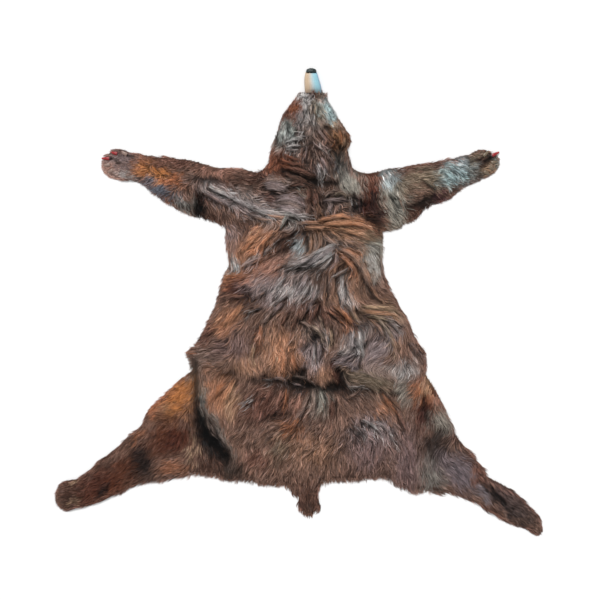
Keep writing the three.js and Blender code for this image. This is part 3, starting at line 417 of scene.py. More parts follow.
def coatHeights():
    # the coat's height, read from the solid pelt at every other grid point and made finer
    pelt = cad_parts["pelt"].data
    tree = BVHTree.FromPolygons([v.co[:] for v in pelt.vertices], [p.vertices[:] for p in pelt.polygons])
    high = np.zeros(planX.shape)
    for j in range(0, rows, 2):
        for i in range(0, columns, 2):
            if rimDepth[j, i] > -coat["margin"]:
                hit = tree.ray_cast((planX[j, i], planY[j, i], 1.0), (0, 0, -1))[0]
                high[j, i] = hit.z if hit else 0
    high[:, 1:-1:2] = (high[:, :-2:2] + high[:, 2::2]) / 2
    high[1:-1:2, :] = (high[:-2:2, :] + high[2::2, :]) / 2
    rimRise = coat["rimHeight"] + coat["rimSlope"] * np.clip(rimDepth, 0, coat["rimReach"])
    high = np.maximum(soften(high, 2), rimRise)
    fade = np.clip(rimDepth / coat["fade"], 0, 1)
    high += fade * coat["lump"] * waves(planX, planY, coat["lumpLength"], 11)
    high += fade * coat["tuft"] * waves(planX, planY, coat["tuftLength"], 12)
    return high


coatTop = coatHeights()
paintedShade = np.zeros(planX.shape)    # the painted shade of each place, from the creases and the gaps beside locks
creaseX, creaseY = (
    place + coat["wander"] * waves(planX, planY, coat["wanderLength"], seed)
    for place, seed in ((planX, 21), (planY, 22)))
# each crease is lowered into the coat and darkened with painted shade
for *line, halfWidth, depth, dark in creases:
    near = nearLine(creaseX, creaseY, (*line, halfWidth * coat["creaseSpread"]))
    coatTop -= near * depth * cm
    paintedShade = np.maximum(paintedShade, near * dark)

# Dyes of the coat: chosen, then corrected against the tones of the photo's regions
dyes = {
    # the near-black first dye of this row is painted shadow, for folds and the gaps between locks
    "paintedShadow": (0.09, 0.07, 0.07), "peat": (0.20, 0.17, 0.15), "umber": (0.32, 0.22, 0.18),
    "cocoa": (0.37, 0.21, 0.14), "chestnut": (0.46, 0.31, 0.26), "russet": (0.30, 0.14, 0.10),
    "rust": (0.68, 0.43, 0.29), "amber": (0.74, 0.48, 0.27), "apricot": (0.74, 0.52, 0.39),
    "camel": (0.64, 0.48, 0.38), "hazel": (0.50, 0.38, 0.32), "bark": (0.47, 0.36, 0.31),
    "mauve": (0.44, 0.36, 0.36), "taupe": (0.58, 0.50, 0.46), "oat": (0.64, 0.57, 0.48),
    "olive": (0.49, 0.44, 0.37), "lichen": (0.56, 0.59, 0.56), "sand": (0.74, 0.62, 0.50),
    "rose": (0.68, 0.50, 0.43), "lilac": (0.60, 0.54, 0.54), "ash": (0.72, 0.70, 0.69),
    "fog": (0.66, 0.71, 0.72), "slate": (0.42, 0.43, 0.47), "pewter": (0.47, 0.47, 0.45),
    # ice, and glacier below, are pale fur with a painted reflection of a cool light mixed in
    "ice": (0.68, 0.78, 0.79), "plum": (0.30, 0.18, 0.20), "white": (0.90, 0.89, 0.88),
    "sienna": (0.50, 0.29, 0.20), "stone": (0.60, 0.59, 0.55), "blush": (0.80, 0.64, 0.58),
    "tan": (0.58, 0.42, 0.30), "honey": (0.90, 0.60, 0.38), "glacier": (0.76, 0.86, 0.86),
    "celadon": (0.76, 0.79, 0.77), "ginger": (0.79, 0.57, 0.44),
}

tuftCover = np.zeros(planX.shape)
tuftHeading = np.zeros((2, *planX.shape))
tuftDye = np.zeros((3, *planX.shape))


def windowAround(pathX, pathY):
    # the plan's rows and columns near a lock
    window = []
    for path, reach in ((pathY, plan["reachY"]), (pathX, plan["reachX"])):
        low = int((min(path) - tuft["window"] + reach) / plan["cell"])
        high = int((max(path) + tuft["window"] + reach) / plan["cell"])
        window.append(slice(max(low, 0), high))
    return tuple(window)


def layTuft(row):
    # a lock raises and dyes the coat under it, turns the hair near it, and lowers its shadow side and paints
    # shade there
    shares = np.linspace(0, 1, tuft["shownAt"])
    pathX, pathY, now = tuftPath(row, shares)
    swell = np.interp(shares, [0, 0.25, 0.6, 0.85, 1], [0.7, 1.0, 0.95, 0.6, 0.15])
    halfWidth = row[5] * cm * swell
    window = windowAround(pathX, pathY)
    awayX, awayY = planX[window][..., None] - pathX, planY[window][..., None] - pathY
    apart = np.hypot(awayX, awayY)
    near = apart.argmin(2)
    cover = np.exp(-(apart.min(2) / (halfWidth[near] + tuft["edge"])) ** 4)
    tuftCover[window] = np.maximum(tuftCover[window], cover)
    tuftDye[:, *window] += (toLinear(dyes[row[6]])[:, None, None] - tuftDye[:, *window]) * cover
    coatTop[window] += tuft["bulge"] * cover
    tuftHeading[0][window] += cover * np.cos(now)[near]
    tuftHeading[1][window] += cover * np.sin(now)[near]
    side = shadowSide(now) * halfWidth * 1.1
    apart = np.hypot(awayX + np.sin(now) * side, awayY - np.cos(now) * side)
    dark = row[7] * np.exp(-(apart.min(2) / (tuft["gapWidth"] * cm)) ** 2)
    paintedShade[window] = np.maximum(paintedShade[window], dark)
    coatTop[window] -= dark * tuft["gapDepth"]


for row in tufts:
    layTuft(row)
coatTop = soften(np.where(rimDepth > 0, np.maximum(coatTop, coat["rimHeight"]), 0.0), 1)

# Bare places: the skin of the snout and the claws that show
bareLines = [
    (5.1, 87.2, 5.0, 92, 2.6), (-78, 58.8, -74.6, 58.6, 0.9), (-75.6, 61.2, -71.6, 60.2, 0.9),
    (77, 60.4, 80.4, 61.4, 0.9)]
bare = np.zeros(planX.shape)
for row in bareLines:
    bare = np.maximum(bare, nearLine(planX, planY, row))
bare = np.where(bare > 0.4, 1.0, bare * 0.5)
print("coat", round(float(coatTop.max()) / mm), "mm high")

# How the hair lies: x, y, heading in degrees, length in centimetres, how rough it is
hairLie = [
    # head and neck
    (5, 90, -95, 0.8, 0.05), (2.5, 84, -100, 1.3, 0.2), (9, 84, -78, 1.3, 0.2), (-3.5, 77, -118, 2.0, 0.3),
    (4.5, 76, -95, 2.6, 0.45), (9, 75, -85, 2.6, 0.45), (14, 77, -58, 1.8, 0.1), (-3, 67, -105, 2.4, 0.3),
    (6, 67, -90, 3.2, 0.6), (16, 67, -65, 2.4, 0.4), (-8, 58, -120, 3.4, 0.5), (3, 58, -95, 4.2, 0.8),
    (14, 58, -82, 4.0, 0.5),
    # chest and shoulders
    (-9.5, 49, -25, 4.2, 0.8), (4, 51, -15, 4.5, 0.7), (10, 51, -75, 3.6, 0.9), (20, 50, -80, 4.0, 0.2),
    (-15, 44, -10, 4.5, 0.6), (-5, 41, -12, 5.0, 0.5), (6, 42, -80, 3.6, 1.0), (16, 41, -30, 3.6, 1.0),
    (23, 41, -70, 3.6, 1.0), (28.5, 44, -88, 4.0, 0.8), (36, 46, -75, 4.4, 0.25), (38, 37, -40, 4.5, 0.5),
    (-8, 36, -10, 5.0, 0.5), (-20, 38, -35, 5.0, 0.6), (18, 32, -5, 6.0, 0.5), (28, 31, -18, 5.0, 0.5),
    (-12, 31, -130, 6.0, 0.5), (-18, 24, -132, 6.5, 0.5), (-27, 27, -100, 4.0, 0.3),
    (-5, 27, -150, 5.0, 0.8), (2, 25, -120, 3.5, 0.2), (6, 24, -92, 5.0, 0.4), (12, 26, -55, 4.5, 0.5),
    (7, 20, -152, 6.0, 0.4), (15, 18, -150, 5.5, 0.4), (27, 27, -12, 4.0, 0.1), (29, 18, -75, 3.5, 0.1),
    (20, 21, -25, 4.5, 0.5), (-10, 18, -140, 5.5, 0.5), (-24, 17, -95, 4.5, 0.4), (-23, 10, -165, 5.0, 0.4),
    (0, 14, -170, 5.0, 0.6), (22, 12, -100, 6.0, 0.4), (12, 9, -95, 5.5, 0.5), (0, 8, -120, 5.0, 0.5),
    (-12, 8, -140, 5.5, 0.5), (28, 8, -70, 5.0, 0.4),
    # back and flanks
    (-26, -4, -132, 6.0, 0.4), (-34, -10, -140, 5.0, 0.4), (-14, -2, -125, 5.5, 0.5),
    (0, -1, -110, 5.0, 0.6), (13, -1, -50, 5.0, 0.7), (18, -5, -80, 5.0, 0.6), (30, -1, -10, 6.0, 0.35),
    (37, -7, -40, 5.5, 0.25), (-8, -15, -92, 6.0, 0.5), (-22, -15, -110, 5.5, 0.4), (7, -12, -60, 4.0, 0.9),
    (6, -18, -88, 5.0, 0.6), (17, -12, -95, 5.0, 0.4), (24, -13, -75, 5.5, 0.35),
    (33, -12, -120, 6.0, 0.22), (34, -22, -150, 6.0, 0.2), (42, -14, -75, 5.0, 0.4),
    (46, -22, -60, 4.5, 0.3), (-21, -22, -80, 5.0, 0.3), (-34, -20, -175, 5.0, 0.4),
    (-42, -19, -178, 4.0, 0.3), (-10, -26, -100, 5.0, 0.6), (0, -27, -60, 5.0, 0.8),
    (10, -25, -95, 4.0, 0.3), (22, -29, -20, 5.0, 0.3), (34, -30, -30, 5.0, 0.3), (18, -22, -165, 4.5, 0.4),
    # rump and tail
    (-29, -34, -118, 5.5, 0.22), (-20, -36, -125, 5.5, 0.28), (-10, -36, -130, 5.0, 0.55),
    (2, -36, -110, 5.0, 0.5), (10, -36, -80, 5.0, 0.45), (20, -38, -60, 5.0, 0.45),
    (33, -38, -50, 5.5, 0.35), (42, -33, -140, 4.5, 0.2), (-24, -50, -118, 5.0, 0.4),
    (-8, -48, -130, 5.0, 0.6), (-12, -58, -125, 5.0, 0.6), (4, -54, -125, 5.0, 0.6),
    (14, -52, -115, 5.0, 0.6), (24, -48, -85, 5.0, 0.9), (33, -50, -62, 5.5, 0.6), (26, -60, -95, 5.0, 0.6),
    (42, -58, -78, 6.0, 0.5), (-22, -64, -110, 4.5, 0.4), (0, -66, -100, 4.5, 0.5),
    (22, -67, -88, 5.0, 0.5), (38, -68, -82, 6.0, 0.5), (48, -68, -80, 6.0, 0.4), (5, -76, -85, 4.0, 0.4),
    # right hip and leg
    (50, -32, -100, 4.0, 0.15), (51, -42, -110, 4.0, 0.3), (57, -44, -50, 4.0, 0.2),
    (56, -54, -120, 4.5, 0.3), (64, -62, -35, 4.5, 0.3), (62, -70, -45, 4.5, 0.3), (71, -66, -60, 4.0, 0.3),
    (76, -74, -45, 4.0, 0.3), (85, -79, -40, 3.5, 0.3), (92, -86, -45, 2.5, 0.3),
    # left hip and leg
    (-40, -30, -85, 3.5, 0.1), (-37, -45, -60, 4.0, 0.3), (-33, -56, -60, 4.0, 0.4),
    (-47, -32, -150, 3.0, 0.1), (-52, -40, -165, 3.0, 0.1), (-50, -50, -130, 3.5, 0.3),
    (-44, -56, -110, 3.5, 0.2), (-50, -62, -150, 3.5, 0.3), (-60, -58, -140, 3.5, 0.3),
    (-72, -66, -145, 3.5, 0.3), (-80, -72, -145, 3.2, 0.3), (-90, -74, -160, 2.5, 0.3),
    # left foreleg
    (-22, 54, 172, 3.0, 0.2), (-22, 50, 178, 3.5, 0.4), (-30, 45, -28, 5.0, 0.6), (-35, 38, -60, 4.0, 0.6),
    (-25, 33, -50, 4.5, 0.7), (-40, 42, -95, 4.0, 0.6), (-46, 41, -75, 3.5, 0.6), (-48, 51, -165, 3.0, 0.4),
    (-55, 46, -145, 3.2, 0.2), (-58, 53, -160, 3.0, 0.5), (-50, 57, 175, 2.6, 0.4),
    (-62, 58, 170, 2.2, 0.3), (-68, 56, 170, 1.8, 0.12), (-75, 55, -175, 1.6, 0.08),
    # right foreleg
    (45, 53, 5, 3.0, 0.3), (50, 50, 12, 3.4, 0.3), (48, 44, -25, 4.0, 0.5), (50, 39, -60, 4.0, 0.5),
    (58, 45, -40, 3.5, 0.6), (56, 57, 12, 2.4, 0.3), (64, 53, -25, 3.0, 0.5), (70, 57, 10, 2.0, 0.3),
    (76, 57, 0, 1.5, 0.3), (72, 52, -20, 2.0, 0.3),
]
lie = {"near": 3.0, "fall": 2.2, "sway": 0.10, "ripple": 0.040, "follow": 0.9}


def lieGrids():
    # heading, length and roughness everywhere: each place follows the rows nearest to it
    x, y = (planX - spine[0]) / cm, (planY - spine[1]) / cm
    alongX, alongY, length, rough, weights = (np.zeros(planX.shape) for _ in range(5))
    for atX, atY, heading, rowLength, rowRough in hairLie:
        weight = ((x - atX) ** 2 + (y - atY) ** 2 + lie["near"]) ** -lie["fall"]
        alongX += weight * math.cos(math.radians(heading))
        alongY += weight * math.sin(math.radians(heading))
        length += weight * rowLength * cm
        rough += weight * rowRough
        weights += weight
    length, rough = length / weights, rough / weights
    turn = np.radians(5 + 12 * rough) * waves(planX, planY, lie["sway"], 31)
    turn += np.radians(1 + 22 * rough ** 2) * waves(planX, planY, lie["ripple"], 32)
    heading = np.arctan2(alongY, alongX) + turn
    follow = np.clip(np.hypot(*tuftHeading), 0, 1) * lie["follow"]
    heading += np.angle(np.exp(1j * (np.arctan2(tuftHeading[1], tuftHeading[0]) - heading))) * follow
    return np.cos(heading), np.sin(heading), length, rough


lieX, lieY, hairLength, hairRough = lieGrids()
print("lie of the hair", len(hairLie), "places")

# Places of colour: x, y, long and short radius, turn of the long one in degrees, dye, how much
# it covers. Later rows lie over earlier ones.
# the near-black places are painted shadow in folds and the gaps between locks
coatColours = [
    # head and neck
    (2, 84.6, 3.4, 1.5, 0, "white", 0.9), (5.2, 83.4, 1.4, 1.2, 0, "sienna", 0.7),
    (7.6, 83, 2, 2, 0, "oat", 0.7), (3.6, 77.4, 6.5, 4, 90, "lilac", 0.8),
    (3.6, 78, 6.5, 3, 90, "ash", 0.95), (7.8, 79, 6, 1.8, 92, "oat", 0.8),
    (-3.2, 78.4, 6, 3.2, 62, "sienna", 1.0), (-2, 79.4, 2.4, 1.4, 60, "rust", 0.3),
    (-5.6, 75.4, 4, 2.6, 55, "cocoa", 0.95), (-6.4, 74.6, 2.2, 1.4, 50, "russet", 0.6),
    # the ice place on the right cheek is pale fur with a painted reflection of a cool light mixed in
    (12.8, 78.4, 6.2, 3.2, -60, "ice", 0.8), (13, 73.4, 3, 0.8, 10, "sand", 0.8),
    (6.4, 67, 7, 4.4, 90, "taupe", 0.85), (-4.4, 67.6, 5, 3.4, 82, "lichen", 0.95),
    (-4.8, 67.8, 5, 3, 84, "celadon", 1.0), (-3, 63.8, 3.4, 2.6, 10, "ash", 0.95),
    (-8.4, 71, 2.6, 1, 70, "lilac", 0.8), (16, 67, 5.4, 4, 75, "tan", 0.9),
    (19.4, 64.8, 1.6, 0.8, 60, "oat", 0.7), (8, 62, 5, 3, 90, "rose", 0.5), (3, 58, 6, 5, 90, "umber", 0.5),
    (-8.4, 58, 6, 4, 60, "sienna", 0.85), (8, 55, 3, 2, 80, "lilac", 0.7),
    (17.4, 56, 5, 3, 90, "pewter", 0.75), (15, 60.6, 4.4, 2.8, 90, "peat", 0.6),
    (2.2, 83.4, 3.2, 1.2, 0, "white", 0.95), (5.8, 83.6, 1.2, 1, 0, "sienna", 0.9),
    (9.4, 83, 1.6, 1.4, 0, "blush", 0.7),
    # chest and shoulders
    (-9.4, 48.4, 5, 3, -15, "taupe", 0.7), (-5, 40.8, 7, 2.8, -15, "lilac", 0.75),
    (-8.6, 36, 9, 2.4, -12, "ash", 0.75), (-21, 42, 7, 3, -28, "ash", 0.6),
    (-14.8, 43, 3.4, 1.4, -10, "russet", 0.6), (-15.2, 51.4, 2.4, 1.8, 0, "russet", 0.8),
    (9, 51.4, 2.5, 1, 80, "ash", 0.8), (5.6, 43, 6.5, 4, 0, "umber", 0.75),
    (15.8, 40.8, 6, 4, 20, "taupe", 0.6), (23.4, 40.8, 3.4, 3, 0, "paintedShadow", 0.7),
    (28.2, 51.6, 3, 2.4, 0, "rust", 0.6), (20.6, 50, 4.6, 4, 0, "stone", 0.8),
    (17.4, 31.8, 10, 3.8, -6, "apricot", 0.85), (14, 32.6, 8, 2, -3, "apricot", 0.7),
    (17, 31, 8, 3.4, -6, "sand", 0.35), (-15.8, 26, 9.4, 4.6, 50, "ginger", 1.0),
    (-12, 21, 4, 2, 50, "rust", 0.5), (-26.6, 27.2, 4.5, 2.4, 85, "blush", 0.3),
    (-5, 26, 6.5, 2.4, 8, "umber", 0.8), (1.4, 24.8, 3, 2, 60, "fog", 0.7),
    (5.8, 24.8, 5, 1.7, 100, "camel", 0.8), (11.4, 25.6, 4, 2.4, 0, "taupe", 0.6),
    (7.4, 19.6, 8, 3, 28, "ash", 0.95), (-9.4, 17.2, 6, 2.6, 30, "rose", 0.7),
    (27.6, 26.6, 5.4, 3.4, -5, "olive", 0.8), (30, 23, 2.4, 2.6, 80, "stone", 0.8),
    (19, 21.6, 4.4, 1.8, -12, "apricot", 0.7), (28.6, 19.2, 5, 3.4, -70, "stone", 0.85),
    (29, 19, 4, 2, -70, "ash", 0.5), (22.2, 12.4, 7.5, 4.5, 90, "camel", 0.5),
    (-26.2, 16.8, 3.5, 1.8, 90, "fog", 0.7), (-22.6, 10.8, 5, 4, 30, "rust", 0.7),
    (-21, 7.4, 4, 2.8, 0, "russet", 0.95), (-25.6, 13, 2.4, 1.4, 60, "amber", 0.6),
    (-7.4, 8, 10, 4.5, 0, "lilac", 0.75), (1, 8, 9, 3, 0, "ash", 0.7), (11.4, 7.6, 5, 3, 90, "hazel", 0.6),
    (18.6, 6, 5, 1.8, 90, "ash", 0.6),
    # back and flanks
    (-26.2, -4, 6.5, 3.4, 45, "apricot", 0.75), (-34.6, -10.4, 4.5, 2.4, 60, "chestnut", 0.75),
    (-25.4, -14.4, 7, 3.6, 40, "mauve", 0.5), (5.4, 0.4, 7, 3, -25, "chestnut", 0.65),
    (17.4, -3.6, 5, 2, -50, "rust", 0.65), (31, -1.6, 7, 2.4, -12, "sand", 0.65),
    (7.4, -10.4, 5.5, 3.6, 0, "taupe", 0.7), (6.2, -13, 1.5, 1.2, 0, "paintedShadow", 0.95),
    (-7.4, -15.2, 8.5, 6, 90, "camel", 0.75), (-5, -17, 7, 4, 95, "apricot", 0.65),
    (5.8, -18, 4.8, 3.4, 90, "lilac", 0.75), (23, -12.8, 5.4, 3.4, 60, "ash", 0.85),
    (33.4, -15.2, 8, 4.4, 70, "lilac", 0.8), (39, -14, 4, 2, 70, "camel", 0.7),
    (45.4, -18, 7, 3, -60, "bark", 0.6), (20.6, -20.4, 3.6, 2.2, 0, "slate", 0.5),
    (32, -23.4, 6, 2.4, 0, "taupe", 0.7), (42.2, -23.8, 4, 2.8, 30, "ash", 0.65),
    (-20.6, -21.2, 5.4, 3.2, 0, "camel", 0.7), (26.2, -28.8, 8.5, 3.4, -5, "olive", 0.8),
    (10.2, -25.2, 3, 2.8, 0, "camel", 0.75), (15.4, -26, 5, 1.8, -75, "russet", 0.8),
    (16.6, -26, 1.2, 1.2, 0, "paintedShadow", 0.9), (0.2, -28.8, 4.4, 2.4, 0, "peat", 0.85),
    (15.4, -31.6, 3.6, 1.8, 0, "paintedShadow", 0.7), (-14, -28.4, 3.6, 1.6, -10, "umber", 0.8),
    (5, -31, 4, 1.6, 0, "paintedShadow", 0.5), (-37.4, -22, 7, 3, 0, "taupe", 0.5),
    # rump
    (-29.8, -34, 7.5, 5.4, -60, "apricot", 0.8), (-25.4, -36, 5, 2.6, 80, "sand", 0.55),
    (-17, -33, 3.4, 4, 0, "bark", 0.6), (-11.8, -38, 8, 5, 0, "chestnut", 0.9),
    (-7, -43.6, 8, 1.6, 0, "umber", 0.8), (1, -38.8, 3.6, 3.6, 0, "rose", 0.5),
    (8.6, -36, 3.6, 3, 90, "stone", 0.7), (-0.4, -46.8, 3, 2.2, -30, "rust", 0.8),
    (-5.4, -56.4, 18, 8, 0, "hazel", 0.55), (6, -55, 9, 5, 0, "camel", 0.5),
    (-6.6, -55.4, 5, 2.4, 60, "olive", 0.6), (-14.8, -59, 5.5, 3.4, 0, "chestnut", 0.65),
    (27.4, -53.2, 9, 7, 90, "mauve", 0.7), (26, -47, 5, 4, 0, "lilac", 0.55),
    (34, -48, 3, 4, 60, "lilac", 0.5), (31.8, -39, 3, 2.2, -40, "apricot", 0.75),
    (42.4, -31.6, 5, 3, -60, "stone", 0.6), (-28.2, -46, 7, 4.4, -50, "hazel", 0.7),
    (-31, -50, 9, 1.2, -58, "pewter", 0.6), (4, -75, 7, 4.4, -80, "umber", 1.0),
    # right hip and leg
    (50.6, -33.2, 4.4, 3, -60, "rust", 0.85), (52, -31, 2.6, 1.6, -60, "sand", 0.6),
    (50.6, -41.2, 5.5, 2.6, 80, "russet", 0.9), (57, -44.8, 4.5, 3.4, -50, "stone", 0.6),
    (55.6, -53.2, 6, 4.6, 60, "paintedShadow", 0.8), (60, -57, 4, 3, 0, "peat", 0.5),
    (43, -58.8, 11, 5, 90, "mauve", 0.75), (52.6, -65.2, 6, 3.6, 90, "pewter", 0.7),
    (62.4, -64.8, 7, 4.6, -50, "mauve", 0.8), (62.4, -64.8, 7, 4.6, -50, "slate", 0.35),
    (70.6, -65, 5.5, 1.8, -60, "chestnut", 0.85), (83.8, -77.2, 9, 4, -42, "mauve", 0.6),
    (87, -81, 8, 4.4, -42, "peat", 0.6), (75.4, -73.2, 5, 1.6, -45, "paintedShadow", 0.9),
    (71.4, -73.6, 3.6, 1.4, -50, "slate", 0.6), (83.4, -81.2, 5, 1.2, -45, "paintedShadow", 0.7),
    (75.6, -80.8, 3.6, 1.6, -30, "umber", 0.8),
    # left hip and leg
    (-39.4, -33.2, 8, 2, -70, "pewter", 0.85), (-34.6, -53.4, 10.5, 3.8, -58, "paintedShadow", 0.95),
    (-36.2, -62, 4, 3, 0, "umber", 0.85), (-25.4, -63.6, 4.5, 3.4, 0, "peat", 0.75),
    (-46.6, -36, 8, 4, 60, "amber", 0.85), (-54.6, -38.8, 5.5, 2.4, 50, "rust", 0.85),
    (-51.4, -40.6, 3, 1.4, 5, "olive", 0.5), (-50.6, -51.6, 7.5, 6, 30, "cocoa", 0.9),
    (-48, -52, 5, 3, 40, "russet", 0.6), (-72.2, -68, 16, 5.5, 38, "cocoa", 0.9),
    (-82, -72, 10, 5, 25, "russet", 0.55), (-60.4, -61.2, 6.5, 3.4, -70, "paintedShadow", 0.85),
    (-41.8, -55.8, 5, 0.8, 90, "sand", 0.6), (-74.8, -62.2, 4, 1.8, 25, "umber", 0.9),
    (-62.8, -50.8, 3, 1.2, 45, "rust", 0.7), (-48.4, -64, 5, 2.2, 10, "rust", 0.5),
    (-76.4, -74, 3.4, 1.6, 60, "paintedShadow", 0.8), (-90, -74.8, 6, 3.4, 90, "umber", 0.8),
    (-88.2, -69.6, 1.2, 0.8, 0, "sand", 0.85), (-87.8, -78.4, 1.4, 0.6, 20, "sand", 0.6),
    (-42.8, -19.2, 2.5, 1, 20, "rust", 0.5),
    # left foreleg
    (-30.6, 54.4, 8, 2, -8, "rose", 0.8), (-26, 50.6, 11, 1.6, -3, "umber", 0.8),
    (-28, 43.2, 11, 2.8, -28, "lilac", 0.75), (-32, 45.4, 7, 1.8, -28, "ash", 0.7),
    (-72, 57, 6.4, 4.6, 0, "rose", 0.5), (-71, 57, 6, 4.4, 0, "lilac", 0.75),
    (-75.4, 53.4, 4.2, 3.4, -30, "blush", 1.0), (-73.8, 51.6, 5.4, 2.5, -36, "blush", 0.9),
    (-67.6, 51.4, 4.6, 1.5, -8, "ash", 0.75), (-64.6, 55.4, 1, 3.6, 5, "slate", 0.8),
    (-70, 60.6, 1.8, 0.8, -40, "umber", 0.8), (-61.4, 58.6, 2.6, 2.2, 0, "rust", 0.85),
    (-62, 59.6, 1.4, 0.8, 0, "blush", 0.6), (-58, 52.8, 6, 3, -12, "amber", 1.0),
    (-57, 52.6, 5.4, 2.2, -12, "honey", 0.95), (-48.6, 50.8, 4, 2.4, -20, "rust", 0.85),
    (-49.4, 57.2, 9, 1.9, -3, "chestnut", 0.75), (-54.6, 47.2, 8, 2.5, -28, "slate", 0.95),
    (-51.2, 42.2, 2.2, 1.2, -30, "rust", 0.8), (-45.8, 41.2, 4, 2.6, -35, "pewter", 0.75),
    (-39.8, 42.5, 3.5, 2.2, 80, "russet", 0.85), (-39.4, 37.6, 3.4, 2.4, 70, "paintedShadow", 0.9),
    (-33.2, 36.6, 3, 2, 0, "umber", 0.6), (-23.4, 33.6, 4, 2.4, 0, "umber", 0.7),
    (-28.4, 30.4, 2.5, 2, 0, "lilac", 0.6),
    # right foreleg
    (36.6, 43, 12.5, 4, 95, "oat", 0.6), (37, 43, 11, 3.6, 93, "stone", 0.9),
    (36, 51.6, 3.4, 2.4, 0, "fog", 0.85), (28.6, 43, 11, 3.2, 91, "russet", 1.0),
    (29.8, 40, 6.5, 1.5, 88, "paintedShadow", 0.6), (27, 47, 3, 1.6, 90, "cocoa", 0.6),
    (41.8, 53.2, 4, 2, -40, "chestnut", 0.75), (50.2, 50, 9, 4, 8, "olive", 0.75),
    (48, 51, 7, 2.4, 8, "oat", 0.4), (55.8, 57.2, 9, 1.3, 10, "chestnut", 0.7),
    # the ice and glacier places on the right paw are pale fur with a painted reflection of a cool light mixed
    # in
    (61.8, 52.8, 6.4, 3.4, 15, "ice", 1.0), (62.4, 53, 4.6, 2.4, 15, "glacier", 0.8),
    (64, 56, 2.4, 2.4, 60, "fog", 0.9), (66, 57.6, 2, 2, 0, "fog", 0.7),
    (48.2, 46.4, 6, 2, 5, "hazel", 0.6), (55.8, 43.6, 3.4, 1.8, 15, "plum", 0.85),
    (49.4, 39.6, 4.5, 2.4, 40, "peat", 0.85), (46, 36.8, 2.6, 2.2, 0, "chestnut", 0.6),
    (61.8, 45.6, 4, 2, 30, "bark", 0.6), (69.4, 53.4, 3.2, 3.4, 0, "pewter", 0.7),
    (69, 59.4, 2.6, 1.6, 10, "olive", 0.95), (75.4, 58.6, 2.6, 1.3, 42, "paintedShadow", 0.8),
    (78.8, 57, 1.6, 2.8, 0, "lichen", 1.0), (75.2, 54, 3, 1.8, 0, "sand", 0.7),
    (77.6, 51.4, 1.4, 0.8, 20, "paintedShadow", 0.8), (72.6, 56.4, 1.6, 1.4, 0, "umber", 0.7),
]
patchEdge = {
    "wander": 0.7, "wanderLength": 4.0, "ripple": 0.45, "rippleLength": 1.6, "spread": 1.25,
    "strength": 1.1, "sharpness": 1.8}
rimHair = {"dye": (0.60, 0.42, 0.37), "cover": 0.4, "depth": 0.010, "upTo": 84}    # redder than the rest


def coatColourAt(x, y):
    # the patches' edges wander like hair, so none has a drawn outline
    tableX, tableY = (x - spine[0]) / cm, (y - spine[1]) / cm
    wanderX, wanderY = (
        place + patchEdge["wander"] * waves(tableX, tableY, patchEdge["wanderLength"], seed)
        + patchEdge["ripple"] * waves(tableX, tableY, patchEdge["rippleLength"], seed + 2)
        for place, seed in ((tableX, 41), (tableY, 42)))
    colour = np.tile(toLinear(dyes["bark"]), (len(x), 1))
    for atX, atY, longer, shorter, turn, dye, cover in coatColours:
        u, v = turned(wanderX - atX, wanderY - atY, -math.radians(turn))
        u, v = u / (longer * patchEdge["spread"]), v / (shorter * patchEdge["spread"])
        share = min(1, cover * patchEdge["strength"]) * np.exp(-(u * u + v * v) ** patchEdge["sharpness"])
        colour = mix(colour, toLinear(dyes[dye]), share)
    own = np.stack([readPlan(channel, x, y) for channel in tuftDye], 1)
    ownShare = tuft["own"] * readPlan(tuftCover, wanderX * cm + spine[0], wanderY * cm + spine[1])
    colour = mix(colour, own, ownShare)
    depth = np.clip(readPlan(rimDepth, x, y), 0, 1)
    fringe = rimHair["cover"] * np.exp(-(depth / rimHair["depth"]) ** 2) * (tableY < rimHair["upTo"])
    return mix(colour, toLinear(rimHair["dye"]), fringe)


# Materials

def newMaterial(name):
    material = bpy.data.materials.new(name)
    material.use_nodes = True
    nodes, links = material.node_tree.nodes, material.node_tree.links
    return material, nodes, links, nodes["Principled BSDF"]


def rangeNode(nodes, links, source, low, high):
    change = nodes.new("ShaderNodeMapRange")
    change.inputs["From Min"].default_value = 0.3
    change.inputs["From Max"].default_value = 0.7
    change.inputs["To Min"].default_value = low
    change.inputs["To Max"].default_value = high
    links.new(source, change.inputs["Value"])
    return change.outputs["Result"]


def dyedMaterial(name, finish):
    # takes its colour from the piece's own dye, broken up by a fine grain
    material, nodes, links, shader = newMaterial(name)
    dye = nodes.new("ShaderNodeAttribute")
    dye.attribute_name = "dye"
    place = nodes.new("ShaderNodeTexCoord")
    grain = nodes.new("ShaderNodeTexNoise")
    grain.inputs["Scale"].default_value = finish["grainScale"]
    grain.inputs["Detail"].default_value = 3.0
    links.new(place.outputs["Object"], grain.inputs["Vector"])
    scaled = nodes.new("ShaderNodeVectorMath")
    scaled.operation = "SCALE"
    factor = rangeNode(nodes, links, grain.outputs["Fac"], 1 - finish["grain"], 1 + finish["grain"])
    links.new(dye.outputs["Color"], scaled.inputs[0])
    links.new(factor, scaled.inputs["Scale"])
    links.new(scaled.outputs["Vector"], shader.inputs["Base Color"])
    links.new(rangeNode(nodes, links, grain.outputs["Fac"], *finish["roughness"]), shader.inputs["Roughness"])
    shader.inputs["Specular IOR Level"].default_value = finish["specular"]
    if finish["bump"]:
        bump = nodes.new("ShaderNodeBump")
        bump.inputs["Strength"].default_value = finish["bump"]
        bump.inputs["Distance"].default_value = 0.001
        links.new(grain.outputs["Fac"], bump.inputs["Height"])
        links.new(bump.outputs["Normal"], shader.inputs["Normal"])
    return material


